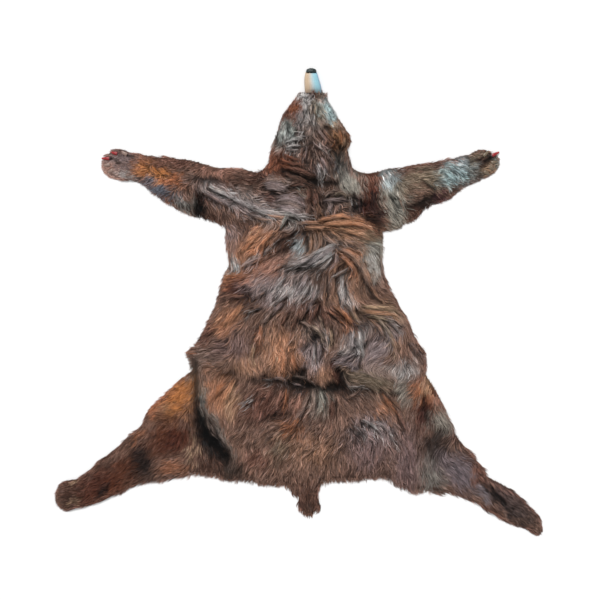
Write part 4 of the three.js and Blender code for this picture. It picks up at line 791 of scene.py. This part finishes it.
hairFinish = dyedMaterial("guard hair", {
    "grain": 0.12, "grainScale": 260.0, "roughness": (0.5, 0.66), "specular": 0.18, "bump": 0})
woolFinish = dyedMaterial("underwool", {
    "grain": 0.45, "grainScale": 420.0, "roughness": (0.8, 0.95), "specular": 0.15, "bump": 0.8})
hideFinish = dyedMaterial("tanned hide", {
    "grain": 0.2, "grainScale": 180.0, "roughness": (0.7, 0.9), "specular": 0.2, "bump": 0.5})
snoutFinish = dyedMaterial("snout skin", {
    "grain": 0.12, "grainScale": 340.0, "roughness": (0.5, 0.7), "specular": 0.3, "bump": 0.35})
noseFinish = dyedMaterial("wet nose", {
    "grain": 0.3, "grainScale": 900.0, "roughness": (0.25, 0.5), "specular": 0.5, "bump": 0.6})
clawFinish = dyedMaterial("claw horn", {
    "grain": 0.16, "grainScale": 500.0, "roughness": (0.25, 0.42), "specular": 0.5, "bump": 0.25})


# Making meshes from arrays

def newObject(name, data):
    made = bpy.data.objects.new(name, data)
    bpy.context.scene.collection.objects.link(made)
    return made


def makeMesh(name, places, corners, starts, material, dye):
    mesh = bpy.data.meshes.new(name)
    mesh.vertices.add(len(places))
    mesh.vertices.foreach_set("co", np.asarray(places, np.float32).ravel())
    mesh.loops.add(len(corners))
    mesh.loops.foreach_set("vertex_index", np.asarray(corners, np.int32))
    mesh.polygons.add(len(starts))
    mesh.polygons.foreach_set("loop_start", np.asarray(starts, np.int32))
    mesh.update(calc_edges=True)
    mesh.polygons.foreach_set("use_smooth", np.ones(len(starts), bool))
    layer = mesh.color_attributes.new("dye", "FLOAT_COLOR", "POINT")
    rgba = np.ones((len(places), 4), np.float32)
    rgba[:, :3] = dye
    layer.data.foreach_set("color", rgba.ravel())
    mesh.materials.append(material)
    piece = newObject(name, mesh)
    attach(piece, "root")
    return piece


def bakeMap(piece, spots):
    layer = piece.data.uv_layers.new(name="OFBake")
    vertexOf = np.empty(len(piece.data.loops), np.int32)
    piece.data.loops.foreach_get("vertex_index", vertexOf)
    layer.data.foreach_set("uv", spots[vertexOf].astype(np.float32).ravel())


def slabOverPlan(name, slab, topAt, bottomAt, material, dyeAt):
    # covers the plan up to an inset from the rim and is closed underneath
    cell, inset = slab["cell"], slab["inset"]
    x, y = np.meshgrid(*(np.arange(-plan[key], plan[key] + cell, cell) for key in ("reachX", "reachY")))
    kept = readPlan(rimDepth, x, y) > inset - cell * 0.55
    j, i = np.nonzero(kept[:-1, :-1] & kept[1:, :-1] & kept[:-1, 1:] & kept[1:, 1:])
    used = np.zeros(x.shape, bool)
    for dj, di in ((0, 0), (0, 1), (1, 0), (1, 1)):
        used[j + dj, i + di] = True
    number = -np.ones(x.shape, int)
    number[used] = np.arange(used.sum())
    px, py = x[used], y[used]
    count = len(px)
    faceCorners = np.stack([number[j, i], number[j, i + 1], number[j + 1, i + 1], number[j + 1, i]], 1)
    edges = np.concatenate([faceCorners[:, [k, (k + 1) % 4]] for k in range(4)])
    keys, backKeys = edges @ (count, 1), edges @ (1, count)
    border = edges[~np.isin(keys, backKeys)]
    onBorder = np.unique(border)
    farthest = cell * 0.8
    for _ in range(3):    # the border's points slide onto the inset line
        bx, by = px[onBorder], py[onBorder]
        gap = inset - readPlan(rimDepth, bx, by)
        stepX, stepY = readPlan(inwardX, bx, by), readPlan(inwardY, bx, by)
        size = np.maximum(stepX ** 2 + stepY ** 2, 0.3)
        px[onBorder] += np.clip(gap * stepX / size, -farthest, farthest)
        py[onBorder] += np.clip(gap * stepY / size, -farthest, farthest)
    places = np.concatenate([np.stack([px, py, heightAt(px, py)], 1) for heightAt in (topAt, bottomAt)])
    wall = np.stack([border[:, 1], border[:, 0], border[:, 0] + count, border[:, 1] + count], 1)
    corners = np.concatenate([faceCorners, faceCorners[:, ::-1] + count, wall]).ravel()
    dye = dyeAt(places[:, 0], places[:, 1], np.arange(len(places)) < count)
    piece = makeMesh(name, places, corners, np.arange(0, len(corners), 4), material, dye)
    spots = np.stack([places[:, 0] / 4.1 + 0.25, places[:, 1] / 2.05 + 0.5], 1)
    spots[count:, 0] += 0.5
    bakeMap(piece, spots)
    print(name, len(piece.data.polygons), "faces")
    return piece


# Hide: tanned leather about 2 mm thick, flat on the floor
hide = {
    "thickness": 0.002, "cell": 0.016, "inset": 0.006, "rumple": 0.0006, "rumpleLength": 0.11,
    "skin": (0.66, 0.56, 0.45), "edge": (0.40, 0.32, 0.26)}


def hideDye(x, y, isTop):
    tone = 1 + 0.12 * waves(x, y, 0.12, 51) + 0.06 * waves(x, y, 0.03, 52)
    return np.where(isTop[:, None], toLinear(hide["edge"]), toLinear(hide["skin"]) * tone[:, None])


def hideTop(x, y):
    return hide["thickness"] + hide["rumple"] * (1 + np.clip(waves(x, y, hide["rumpleLength"], 53), -1, 1))


hidePiece = slabOverPlan("hide", hide, hideTop, lambda x, y: np.zeros_like(x), hideFinish, hideDye)
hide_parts("pelt")

# Underwool: the dense mass under the long hair, dyed in the coat's colour darkened as painted shade under the
# hair and in the creases and gaps
wool = {"cell": 0.0105, "inset": 0.007, "base": 0.0035, "under": 0.0033, "rise": 0.60, "dark": 0.30}


def woolDye(x, y, isTop):
    # painted shade: the coat's colour at 0.3 under the long hair, darker still in the creases and gaps
    tone = wool["dark"] * (1 + 0.15 * waves(x, y, 0.02, 61)) * (1 - 0.95 * readPlan(paintedShade, x, y))
    return coatColourAt(x, y) * np.clip(tone, 0.01, 1)[:, None]


woolPiece = slabOverPlan(
    "underwool", wool, lambda x, y: wool["base"] + wool["rise"] * readPlan(coatTop, x, y),
    lambda x, y: np.full_like(x, wool["under"]), woolFinish, woolDye)

# Layers of hair, from the short one underneath, darkened as painted shade, to the long one on top
# with painted highlights at the tips. shades are the hair's brightness at its root, two middles and
# tip: painted shade at the root and, in the upper layers, painted highlight at the tip.
hairLayers = {
    "hair_under": {
        "strands": 33000, "long": 0.75, "width": 0.0030, "lift": 0.78, "clump": 0.010, "pull": 0.35,
        "shades": (0.20, 0.40, 0.62, 0.75), "tipHighlight": 0.10, "roll": 0.5, "seed": 101},
    "hair_middle_1": {
        "strands": 35000, "long": 0.95, "width": 0.0024, "lift": 0.90, "clump": 0.0085, "pull": 0.60,
        "shades": (0.25, 0.60, 0.90, 1.00), "tipHighlight": 0.30, "roll": 0.6, "seed": 102},
    "hair_middle_2": {
        "strands": 35000, "long": 1.0, "width": 0.0021, "lift": 0.96, "clump": 0.008, "pull": 0.70,
        "shades": (0.28, 0.68, 1.00, 1.12), "tipHighlight": 0.40, "roll": 0.65, "seed": 103},
    "hair_top_1": {
        "strands": 35000, "long": 1.05, "width": 0.0018, "lift": 1.00, "clump": 0.0085, "pull": 0.80,
        "shades": (0.30, 0.75, 1.08, 1.25), "tipHighlight": 0.50, "roll": 0.7, "seed": 104},
    "hair_top_2": {
        "strands": 32000, "long": 1.15, "width": 0.0015, "lift": 1.04, "clump": 0.0095, "pull": 0.80,
        "shades": (0.35, 0.80, 1.15, 1.35), "tipHighlight": 0.60, "roll": 0.75, "seed": 105},
}
locks = {
    "spacing": 0.036, "long": 0.055, "stretch": 1.2, "turn": 20.0, "pull": 0.40, "tone": 0.26,
    "seed": 90}
# colour of the painted highlight on the hair's tips
highlightDye = (0.84, 0.80, 0.80)
emberDye = (0.80, 0.56, 0.40)
rim = {
    "over": 0.003, "overSpread": 0.006, "stray": 0.05, "strayOver": 0.014, "rumpOver": 0.016,
    "fade": 0.012, "margin": 0.004}
lowestHair = 0.0006
shownGloom = 0.36    # hair ends where the painted shade is stronger than this


def scatter(draw, count, density):
    # random root places: more where the density grid is high
    chance = (density * (rimDepth > rim["margin"]) * (1 - bare) * (1 - 0.85 * paintedShade)).ravel()
    cells = draw.choice(len(chance), count, p=chance / chance.sum())
    return [grid.ravel()[cells] + draw.uniform(-0.5, 0.5, count) * plan["cell"] for grid in (planX, planY)]


def nearestOf(x, y, centreX, centreY):
    tree = searchTree(centreX, centreY)
    return np.array([tree.find((*place, 0))[1] for place in zip(x.tolist(), y.tolist())])


def growAlong(x, y, length, turn):
    # walks along the lie of the hair in three steps
    pathX, pathY = [x], [y]
    for _ in range(3):
        alongX, alongY = readPlan(lieX, x, y), readPlan(lieY, x, y)
        size = np.maximum(np.hypot(alongX, alongY), 0.2)
        stepX, stepY = turned(alongX / size, alongY / size, turn)
        x, y = x + stepX * length / 3, y + stepY * length / 3
        pathX.append(x)
        pathY.append(y)
    return np.stack(pathX, 1), np.stack(pathY, 1)


def drawBack(x, y, over):
    # whatever strays farther past the rim is drawn back to it
    stray = np.minimum(readPlan(rimDepth, x, y) + over, 0)
    return x - readPlan(inwardX, x, y) * stray, y - readPlan(inwardY, x, y) * stray


def sinkPastRim(high, x, y, level):
    beyond = np.clip(-readPlan(rimDepth, x, y) / rim["fade"], 0, 1)
    return high * (1 - beyond) + level * beyond


def twice(values):
    # one value for each corner of a hair: two at each step and one at the tip
    return np.repeat(values, [2] * (values.shape[-1] - 1) + [1], axis=-1)


def ribbonPlaces(x, y, high, sideX, sideY, wide, roll):
    # each ribbon is turned a little about its own length, so that it catches the light unevenly
    offset = np.stack([sideX * wide * np.cos(roll), sideY * wide * np.cos(roll), wide * np.sin(roll)], 2)
    places = np.stack([twice(x), twice(y), twice(high)], 2)
    places[:, 0:-1:2] += offset[:, :-1]
    places[:, 1::2] -= offset[:, :-1]
    places[:, :, 2] = np.maximum(places[:, :, 2], lowestHair)
    return places


def ribbonPiece(name, places, dye, spotWide, spotUp):
    count, each = places.shape[:2]
    order = [corner for k in range(0, each - 3, 2) for corner in (k, k + 1, k + 3, k + 2)]
    order += [each - 3, each - 2, each - 1]
    number = np.arange(count)[:, None]
    corners = (number * each + np.array(order)).ravel()
    starts = (number * len(order) + np.arange(0, len(order), 4)).ravel()
    dye = dye.reshape(-1, 3).clip(0.002, 0.95)
    piece = makeMesh(name, places.reshape(-1, 3), corners, starts, hairFinish, dye)
    # each hair has a small square of its own in the bake's map
    side = math.ceil(math.sqrt(count))
    spotU = np.array([0.5 - spotWide, 0.5 + spotWide] * (each // 2) + [0.5])
    spotV = np.append(np.repeat(spotUp, 2), 0.85)
    spots = np.stack([number % side + spotU, number // side + spotV], 2) / side
    bakeMap(piece, spots.reshape(-1, 2))
    print(name, count, "hairs")
    return piece


lockDraw = np.random.default_rng(locks["seed"])
lockX, lockY = scatter(lockDraw, int(hideArea / locks["spacing"] ** 2), np.ones(planX.shape))
lockTurn, lockTone, lockLift = lockDraw.normal(0, 1, (3, len(lockX)))
lockPathX, lockPathY = growAlong(
    lockX, lockY, np.minimum(readPlan(hairLength, lockX, lockY) * locks["stretch"], locks["long"]),
    np.radians(locks["turn"]) * readPlan(hairRough, lockX, lockY) * lockTurn)
shortness = np.clip(0.045 / np.maximum(hairLength, 0.008), 1.0, 3.0)    # short hair stands closer


def growLayer(name, layer):
    draw = np.random.default_rng(layer["seed"])
    count = int(layer["strands"] * hairShare)
    x, y = scatter(draw, count, shortness)
    rough = readPlan(hairRough, x, y)
    length = readPlan(hairLength, x, y) * layer["long"]

    clumpX, clumpY = scatter(draw, int(hideArea / layer["clump"] ** 2 * 1.2), shortness)
    clump = nearestOf(x, y, clumpX, clumpY)
    lock = nearestOf(x, y, lockX, lockY)
    lockOfClump = nearestOf(clumpX, clumpY, lockX, lockY)
    clumpRough = readPlan(hairRough, clumpX, clumpY)
    spin, longer, lifted, toned, highlighted, embered = draw.normal(0, 1, (6, len(clumpX)))
    clumpTurn = locks["turn"] * clumpRough * lockTurn[lockOfClump] + (4 + 14 * clumpRough) * spin
    clumpTurn = np.radians(clumpTurn)
    clumpLong = 1 + 0.14 * longer
    clumpLift = 0.0025 * clumpRough * lockLift[lockOfClump] + 0.0022 * lifted
    clumpTone = 1 + (0.12 + 0.46 * clumpRough) * toned
    clumpHighlight, clumpEmber = (np.clip(drawn, 0, 2) / 2 for drawn in (highlighted, embered))
    clumpOver = rim["over"] + rim["overSpread"] * draw.uniform(0, 1, len(clumpX))
    atRump = np.clip((-0.52 - clumpY) / 0.1, 0, 1) * (np.abs(clumpX) < 0.62)
    clumpOver += rim["rumpOver"] * atRump * draw.uniform(0, 1, len(clumpX)) ** 2

    # hair that points out over the rim is cut to end just past it
    over = np.where(draw.uniform(0, 1, count) < rim["stray"], rim["strayOver"], clumpOver[clump])
    turn = clumpTurn[clump] + np.radians(5) * draw.normal(0, 1, count)
    headX, headY = turned(readPlan(lieX, x, y), readPlan(lieY, x, y), turn)
    outward = -(headX * readPlan(inwardX, x, y) + headY * readPlan(inwardY, x, y))
    room = (readPlan(rimDepth, x, y) + over) / np.maximum(outward, 0.15)
    length = np.clip(np.minimum(length * clumpLong[clump], room), 0.007, None)
    length = length * (1 + 0.12 * draw.normal(0, 1, count)).clip(0.6, 1.4)
    # hair ends at a crease or a gap instead of covering it
    clear = readPlan(paintedShade, x, y) < shownGloom
    reachOf = np.ones(count)
    for part in (1.0, 0.85, 0.7, 0.55, 0.4, 0.25):
        meets = readPlan(paintedShade, x + headX * length * part, y + headY * length * part) > shownGloom
        reachOf = np.where(clear & meets, part, reachOf)
    length = length * np.where(reachOf < 1, reachOf + 0.06 * draw.normal(0, 1, count), 1).clip(0.2, 1)

    # each hair is pulled towards its clump, and each clump towards its lock, more so at the tip
    pathX, pathY = growAlong(x, y, length, turn)
    clumpLength = readPlan(hairLength, clumpX, clumpY) * layer["long"] * clumpLong
    clumpPathX, clumpPathY = growAlong(clumpX, clumpY, clumpLength, clumpTurn)
    share = np.array([0.0, 0.22, 0.60, 1.0])
    lockPull = locks["pull"] * clumpRough[:, None] * share
    fit = (length / clumpLength[clump]).clip(0, 1)[:, None]    # cut hairs join their clump less far out
    pull = (layer["pull"] * (0.55 + 0.7 * rough)[:, None].clip(0, 1.1) * share * fit).clip(0, 0.9)
    for path, clumpPath, lockPath in ((pathX, clumpPathX, lockPathX), (pathY, clumpPathY, lockPathY)):
        clumpPath += (lockPath[lockOfClump] - clumpPath) * lockPull
        path += (clumpPath[clump] - path) * pull
    wiggle = 0.0004 + 0.0032 * rough ** 2
    for step in (1, 2, 3):
        push = wiggle * waves(pathX[:, step] + 0.3 * step, pathY[:, step], 0.022, 71)
        pathX[:, step], pathY[:, step] = drawBack(
            pathX[:, step] - headY * push, pathY[:, step] + headX * push, over)

    high = readPlan(coatTop, pathX, pathY) * (np.array([0.45, 0.80, 0.97, 1.0]) * layer["lift"])
    high[:, 1:] += (clumpLift[clump] * (length / 0.05).clip(0.2, 1))[:, None] * np.array([0.6, 1.0, 0.7])
    high += draw.normal(0, 0.0009, high.shape) * np.array([0, 1, 1, 1])
    high = np.maximum(sinkPastRim(high, pathX, pathY, 0.0025), 0.0012 + 0.0004 * layer["lift"])
    high[:, 0] = np.minimum(high[:, 0], readPlan(coatTop, x, y) * wool["rise"] + 0.002)
    tangentX, tangentY = np.gradient(pathX, axis=1), np.gradient(pathY, axis=1)
    size = np.maximum(np.hypot(tangentX, tangentY), 1e-6)
    roll = layer["roll"] * draw.normal(0, 1, (count, 1))
    slim = np.clip(length / 0.035, 0.55, 1)[:, None]
    wide = layer["width"] / 2 * slim * np.array([0.9, 1.0, 0.75, 0.0])
    wide = wide * (1 + 0.2 * draw.normal(0, 1, (count, 1))).clip(0.5, 1.6)
    places = ribbonPlaces(pathX, pathY, high, -tangentY / size, tangentX / size, wide, roll)

    colour = coatColourAt(x + draw.normal(0, 0.003, count), y + draw.normal(0, 0.003, count))
    tone = clumpTone[clump] * (1 + locks["tone"] * rough * lockTone[lock])
    tone = (tone * (1 + (0.12 + 0.30 * rough) * draw.normal(0, 1, count))).clip(0.25, 2.3)
    # painted shade in the creases and the gaps beside locks
    dusk = twice(1 - 0.97 * np.sqrt(readPlan(paintedShade, pathX, pathY).clip(0, 1)))
    # painted highlight: hair in random clumps pales towards its tip, more where it is rough
    tipHighlight = (layer["tipHighlight"] * clumpHighlight[clump] * (0.15 + 0.85 * rough)).clip(0, 0.8)
    ember = (0.5 * clumpEmber[clump] * rough).clip(0, 0.5)
    bright = colour.mean(1, keepdims=True)
    colour = mix(colour, toLinear(emberDye) * bright * 2.2, ember)
    # short or sleek hair gets little painted shade at its root
    rootShown = (length / 0.022).clip(0.15, 1) * (0.3 + 0.7 * (rough / 0.35).clip(0, 1))
    shades = 1 + (twice(np.array(layer["shades"])) - 1) * rootShown[:, None]
    highlighting = (tipHighlight[:, None] * twice(np.array([0.0, 0.3, 0.75, 1.0])))[:, :, None]
    pale = colour * 1.1 + toLinear(highlightDye) * (0.10 + 0.55 * (bright / 0.30).clip(0, 1))
    dye = colour[:, None, :] * (1 - highlighting) + pale[:, None, :] * highlighting
    dye = dye * (shades * dusk)[:, :, None] * tone[:, None, None]
    return ribbonPiece(name, places, dye, 0.25, (0.15, 0.4, 0.62))


def growTufts():
    # the locks that stand out: strands that follow the lock's own bend, above the other hair
    draw = np.random.default_rng(tuft["seed"])
    along = np.linspace(0, 1, tuft["steps"] + 1)
    placesOf, dyeOf = [], []
    for row in tufts:
        halfWidth = row[5] * cm
        hairs = min(tuft["most"], row[4] * row[5] * tuft["perArea"])
        count = max(tuft["least"], int(hairs * hairShare))
        strands = max(4, int(row[5] * 12))
        strand = draw.integers(0, strands, count)
        middle = (strand + 0.5) / strands * 2 - 1
        lane = (middle + draw.normal(0, 0.14, count)).clip(-1.2, 1.2)[:, None]
        begin = (draw.uniform(0, 1, count) ** 1.3 * 0.65)[:, None]
        end = begin + draw.uniform(0.35, 0.6, (count, 1))
        shares = begin + (end - begin) * along
        x, y, now = tuftPath(row, shares)
        offset = (lane + draw.normal(0, 0.25, (count, 1)) * along ** 2) * halfWidth
        offset += 0.0007 * waves(x, y, 0.03, 72) + 0.0005 * draw.normal(0, 1, (count, 1))
        x, y = drawBack(x - np.sin(now) * offset, y + np.cos(now) * offset, tuft["over"])
        roundness = 1 - 0.6 * lane ** 2
        rise = tuft["lift"] * min(1, row[5] / 0.8) * np.sin(np.pi * (0.15 + 0.8 * shares)) * roundness
        high = readPlan(coatTop, x, y) + rise + draw.normal(0, 0.001, (count, 1))
        high += 0.006 * readPlan(bare, x, y)
        high[:, 0] -= 0.004
        high = sinkPastRim(high, x, y, 0.003)
        wide = tuft["width"] / 2 * np.linspace(1.0, 0.55, tuft["steps"] + 1)
        wide = wide * (1 + 0.2 * draw.normal(0, 1, (count, 1))).clip(0.5, 1.5)
        wide[:, -1] = 0
        roll = 0.5 * draw.normal(0, 1, (count, 1))
        placesOf.append(ribbonPlaces(x, y, high, -np.sin(now), np.cos(now), wide, roll))

        strandTone = 1.1 + 0.22 * draw.normal(0, 1, strands)
        tone = strandTone[strand] * (1 + 0.2 * draw.normal(0, 1, count))
        # painted shade: darker towards the lock's root, on its side away from the light and in the creases
        # and gaps
        away = np.clip(lane * shadowSide(now), 0, 1) ** 2
        shade = (0.45 + 0.75 * along ** 0.7) * (1 - 0.4 * away) * (1 - 0.35 * readPlan(paintedShade, x, y))
        shade = twice(shade) * tone.clip(0.4, 1.7)[:, None]
        colour = coatColourAt(x[:, 2], y[:, 2]) * 1.1
        dyeOf.append(colour[:, None, :] * shade[:, :, None])
    places, dye = np.concatenate(placesOf), np.concatenate(dyeOf)
    return ribbonPiece("hair_locks", places, dye, 0.2, np.linspace(0.15, 0.7, tuft["steps"]))


hairPieces = [growLayer(name, layer) for name, layer in hairLayers.items()]
hairPieces.append(growTufts())


# Closed skins over rings of points, for the nose, the snout and the claws

def ringGrid(bands, sides):
    # for each point: its share of the way along, and its turn round the ring
    turns = np.arange(sides) * 2 * math.pi / sides
    return np.repeat(np.linspace(0, 1, bands + 1), sides), np.tile(turns, bands + 1)


def loftPiece(name, sides, places, material, dye):
    point = np.arange(len(places) - sides)
    beside = point - point % sides + (point + 1) % sides
    quads = np.stack([point, beside, beside + sides, point + sides], 1).ravel()
    ends = (np.arange(sides)[::-1], np.arange(len(places) - sides, len(places)))
    starts = np.append(np.arange(0, len(quads) + 1, 4), len(quads) + sides)
    return makeMesh(name, places, np.concatenate([quads, *ends]), starts, material, dye)


nose = {
    "x": 51, "y": 928, "length": 17, "halfWidth": 21.5, "height": 28, "clear": 2, "bands": 18, "round": 48,
    "skin": (0.10, 0.15, 0.15), "pit": (0.02, 0.02, 0.02), "nostrilX": 9, "nostrilZ": 17,
    "nostrilSize": 5.0, "nostrilDepth": 4.5, "grooveWidth": 1.1, "grooveDepth": 1.2}


def makeNose():
    part, turn = ringGrid(nose["bands"], nose["round"])
    angle = part * math.pi / 2 * 0.985
    wide = np.cos(angle) ** 0.6
    high = nose["clear"] + nose["height"] / 2 * (1 - wide * np.sin(turn))
    places = np.stack([nose["halfWidth"] * wide * np.cos(turn), nose["length"] * np.sin(angle), high], 1)
    dye = np.tile(toLinear(nose["skin"]), (len(places), 1))
    for sideOf in (-1, 1):    # nostrils: comma-shaped pits that open outward, dyed near-black as painted shade
        apartX = places[:, 0] - sideOf * nose["nostrilX"]
        apartZ = places[:, 2] - nose["nostrilZ"] - 0.25 * sideOf * apartX
        near = (apartX / nose["nostrilSize"]) ** 2 + (apartZ / (nose["nostrilSize"] * 0.8)) ** 2
        near = np.exp(-near ** 2) * (places[:, 1] > nose["length"] * 0.4)
        places[:, 1] -= near * nose["nostrilDepth"]
        dye = mix(dye, toLinear(nose["pit"]), near)
    groove = np.exp(-(places[:, 0] / nose["grooveWidth"]) ** 2) * (places[:, 1] > nose["length"] * 0.6)
    places[:, 1] -= groove * nose["grooveDepth"]
    places[:, 2] += 0.35 * waves(places[:, 0], places[:, 1] + places[:, 2], 2.6, 81) * (places[:, 2] > 16)
    places = places * mm + (nose["x"] * mm + spine[0], nose["y"] * mm + spine[1], 0)
    piece = loftPiece("nose_leather", nose["round"], places, noseFinish, dye)
    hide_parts("nose_pad")


makeNose()
print("nose")

# Snout: short smooth hair on skin, cream on the left, with a painted reflection of a cool light making it
# pale and icy to the right
snout = {
    "back": 845, "front": 931, "bands": 24, "round": 40, "over": 0.0035, "square": 0.62, "under": 0.0012,
    "cream": (0.73, 0.64, 0.54), "middle": (0.72, 0.72, 0.70), "ice": (0.56, 0.74, 0.79),
    "edge": (0.38, 0.50, 0.70), "root": (0.42, 0.34, 0.30)}


def makeSnout():
    table = np.array(sorted(outlines["snout"][1]))
    part, turn = ringGrid(snout["bands"], snout["round"])
    y = snout["back"] + (snout["front"] - snout["back"]) * part
    left, right = (np.interp(y, table[:, 0], table[:, k]) for k in (1, 2))
    atX, atY = (left + right) / 2 * mm + spine[0], y * mm + spine[1]
    across = np.cos(turn)
    up = np.maximum(-np.sin(turn), 0) ** snout["square"]
    rise = (readPlan(coatTop, atX, atY) + snout["over"]) * (0.72 + 0.28 * ((y - 848) / 26).clip(0, 1))
    places = np.stack([atX + across * (right - left) / 2 * mm, atY, snout["under"] + up * rise], 1)
    places[:, 2] += 0.0004 * waves(places[:, 0] * 3, places[:, 1], 0.012, 85) * (places[:, 2] > 0.004)
    dye = toLinear(snout["cream"])
    # the pale middle, the icy right and the blue right edge are painted reflection of a cool light; cream is
    # the snout's own colour
    for key, share in (
        ("middle", ((across + 0.5) / 0.5).clip(0, 1)),
        ("ice", ((across + 0.2) / 0.6).clip(0, 1)),
        ("edge", 0.7 * ((across - 0.8) / 0.2).clip(0, None)),
        ("root", 0.75 * ((875 - y) / 37).clip(0, None) ** 1.5 + 0.25 * (across < -0.9)),
    ):
        dye = mix(dye, toLinear(snout[key]), share)
    dye *= (1 + 0.05 * np.sin(across * 21 + 1.5 * np.sin(y / 9)))[:, None]
    return loftPiece("snout_skin", snout["round"], places, snoutFinish, dye)


snoutPiece = makeSnout()
print("snout")

# Claws: root, heading and length as in the solid paws. They are curved horns; those that show
# are dark at the root and red at the tip, and the others have the colour of the hair round them
horn = {
    "width": 16, "height": 12.4, "rootHeight": 10, "arch": 4, "tipHeight": 2.2, "tipSize": 0.32,
    "lowest": 0.8, "steps": 16, "round": 16, "root": (0.16, 0.05, 0.05), "middle": (0.54, 0.07, 0.09),
    "tip": (0.64, 0.14, 0.16), "shown": ("left 1", "left 2", "right 1"),
    "plain": {"left": (0.52, 0.43, 0.39), "right": (0.42, 0.36, 0.29)}}
clawPlaces = {
    "left": [
        (-749, 584, 176, 38), (-718, 602, 166, 36), (-685, 599, 148, 34), (-752, 560, 186, 30),
        (-740, 540, 207, 28)],
    "right": [
        (767, 593, 28, 40), (737, 594, 40, 34), (769, 568, 8, 30), (760, 550, -22, 28),
        (741, 534, -34, 28)],
}


def makeHorn(paw, number, x, y, heading, length):
    part, turn = ringGrid(horn["steps"], horn["round"])
    size = 1 - (1 - horn["tipSize"]) * part ** 1.6
    middle = horn["rootHeight"] + horn["arch"] * np.sin(math.pi * part)
    middle -= (horn["rootHeight"] - horn["tipHeight"]) * part ** 1.5
    across = horn["width"] / 2 * size * np.cos(turn) * (1 - 0.25 * np.maximum(-np.sin(turn), 0))
    high = np.maximum(middle + horn["height"] / 2 * size * np.sin(turn), horn["lowest"])
    outX, outY = turned(part * length, across, math.radians(heading))
    places = np.stack([x + outX, y + outY, high], 1) * mm + (*spine, 0)
    root, middle, tip = (toLinear(horn[key]) for key in ("root", "middle", "tip"))
    if f"{paw} {number}" not in horn["shown"]:
        root = middle = tip = toLinear(horn["plain"][paw])
    dye = mix(root, middle, ((part - 0.12) / 0.12).clip(0, 1))
    dye = mix(dye, tip, ((part - 0.5) / 0.5).clip(0, 1))
    dye *= (1 + 0.15 * np.sin(np.arctan2(high - 8, across) * 7))[:, None]
    piece = loftPiece(f"horn_{paw}_{number}", horn["round"], places, clawFinish, dye)
    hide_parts(f"claw_{paw}_{number}")


for paw, claws in clawPlaces.items():
    for number, claw in enumerate(claws, 1):
        makeHorn(paw, number, *claw)
print("claws")


# Floor, light and camera
studio = {
    "floor": (0.93, 0.93, 0.93), "floorReach": 40.0, "floorLevel": -0.0006, "sky": 0.64, "sunPower": 2.62,
    "sunSoftness": 22.0, "sunTilt": 42.0, "sunFrom": 20.0, "cameraX": 0.0035, "cameraY": 0.014,
    "cameraHeight": 6.0, "lens": 90.0}


def makeStudio():
    floorMesh = bpy.data.meshes.new("floor")
    reach, level = studio["floorReach"], studio["floorLevel"]
    corners = [(x * reach, y * reach, level) for x, y in ((-1, -1), (1, -1), (1, 1), (-1, 1))]
    floorMesh.from_pydata(corners, [], [(0, 1, 2, 3)])
    floor = newObject("floor", floorMesh)
    material, _, _, shader = newMaterial("pale floor")
    shader.inputs["Base Color"].default_value = (*toLinear(studio["floor"]), 1)
    shader.inputs["Roughness"].default_value = 0.9
    shader.inputs["Specular IOR Level"].default_value = 0.1
    floorMesh.materials.append(material)

    world = bpy.data.worlds.new("soft studio")
    world.use_nodes = True
    world.node_tree.nodes["Background"].inputs["Color"].default_value = (1.0, 1.0, 1.0, 1)
    world.node_tree.nodes["Background"].inputs["Strength"].default_value = studio["sky"]
    bpy.context.scene.world = world

    sunLight = bpy.data.lights.new("key light", "SUN")
    sunLight.energy = studio["sunPower"]
    sunLight.angle = math.radians(studio["sunSoftness"])
    sun = newObject("key light", sunLight)
    # from the head's side of the rug and a little from the left
    sun.rotation_euler = (-math.radians(studio["sunTilt"]), 0, math.radians(studio["sunFrom"]))

    cameraData = bpy.data.cameras.new("camera")
    cameraData.lens = studio["lens"]
    cameraData.sensor_width = 36.0
    camera = newObject("camera", cameraData)
    camera.location = (studio["cameraX"], studio["cameraY"], studio["cameraHeight"])
    bpy.context.scene.camera = camera
    bpy.context.scene.view_settings.view_transform = "Standard"
    bpy.context.scene.view_settings.look = "None"


makeStudio()
print("studio")
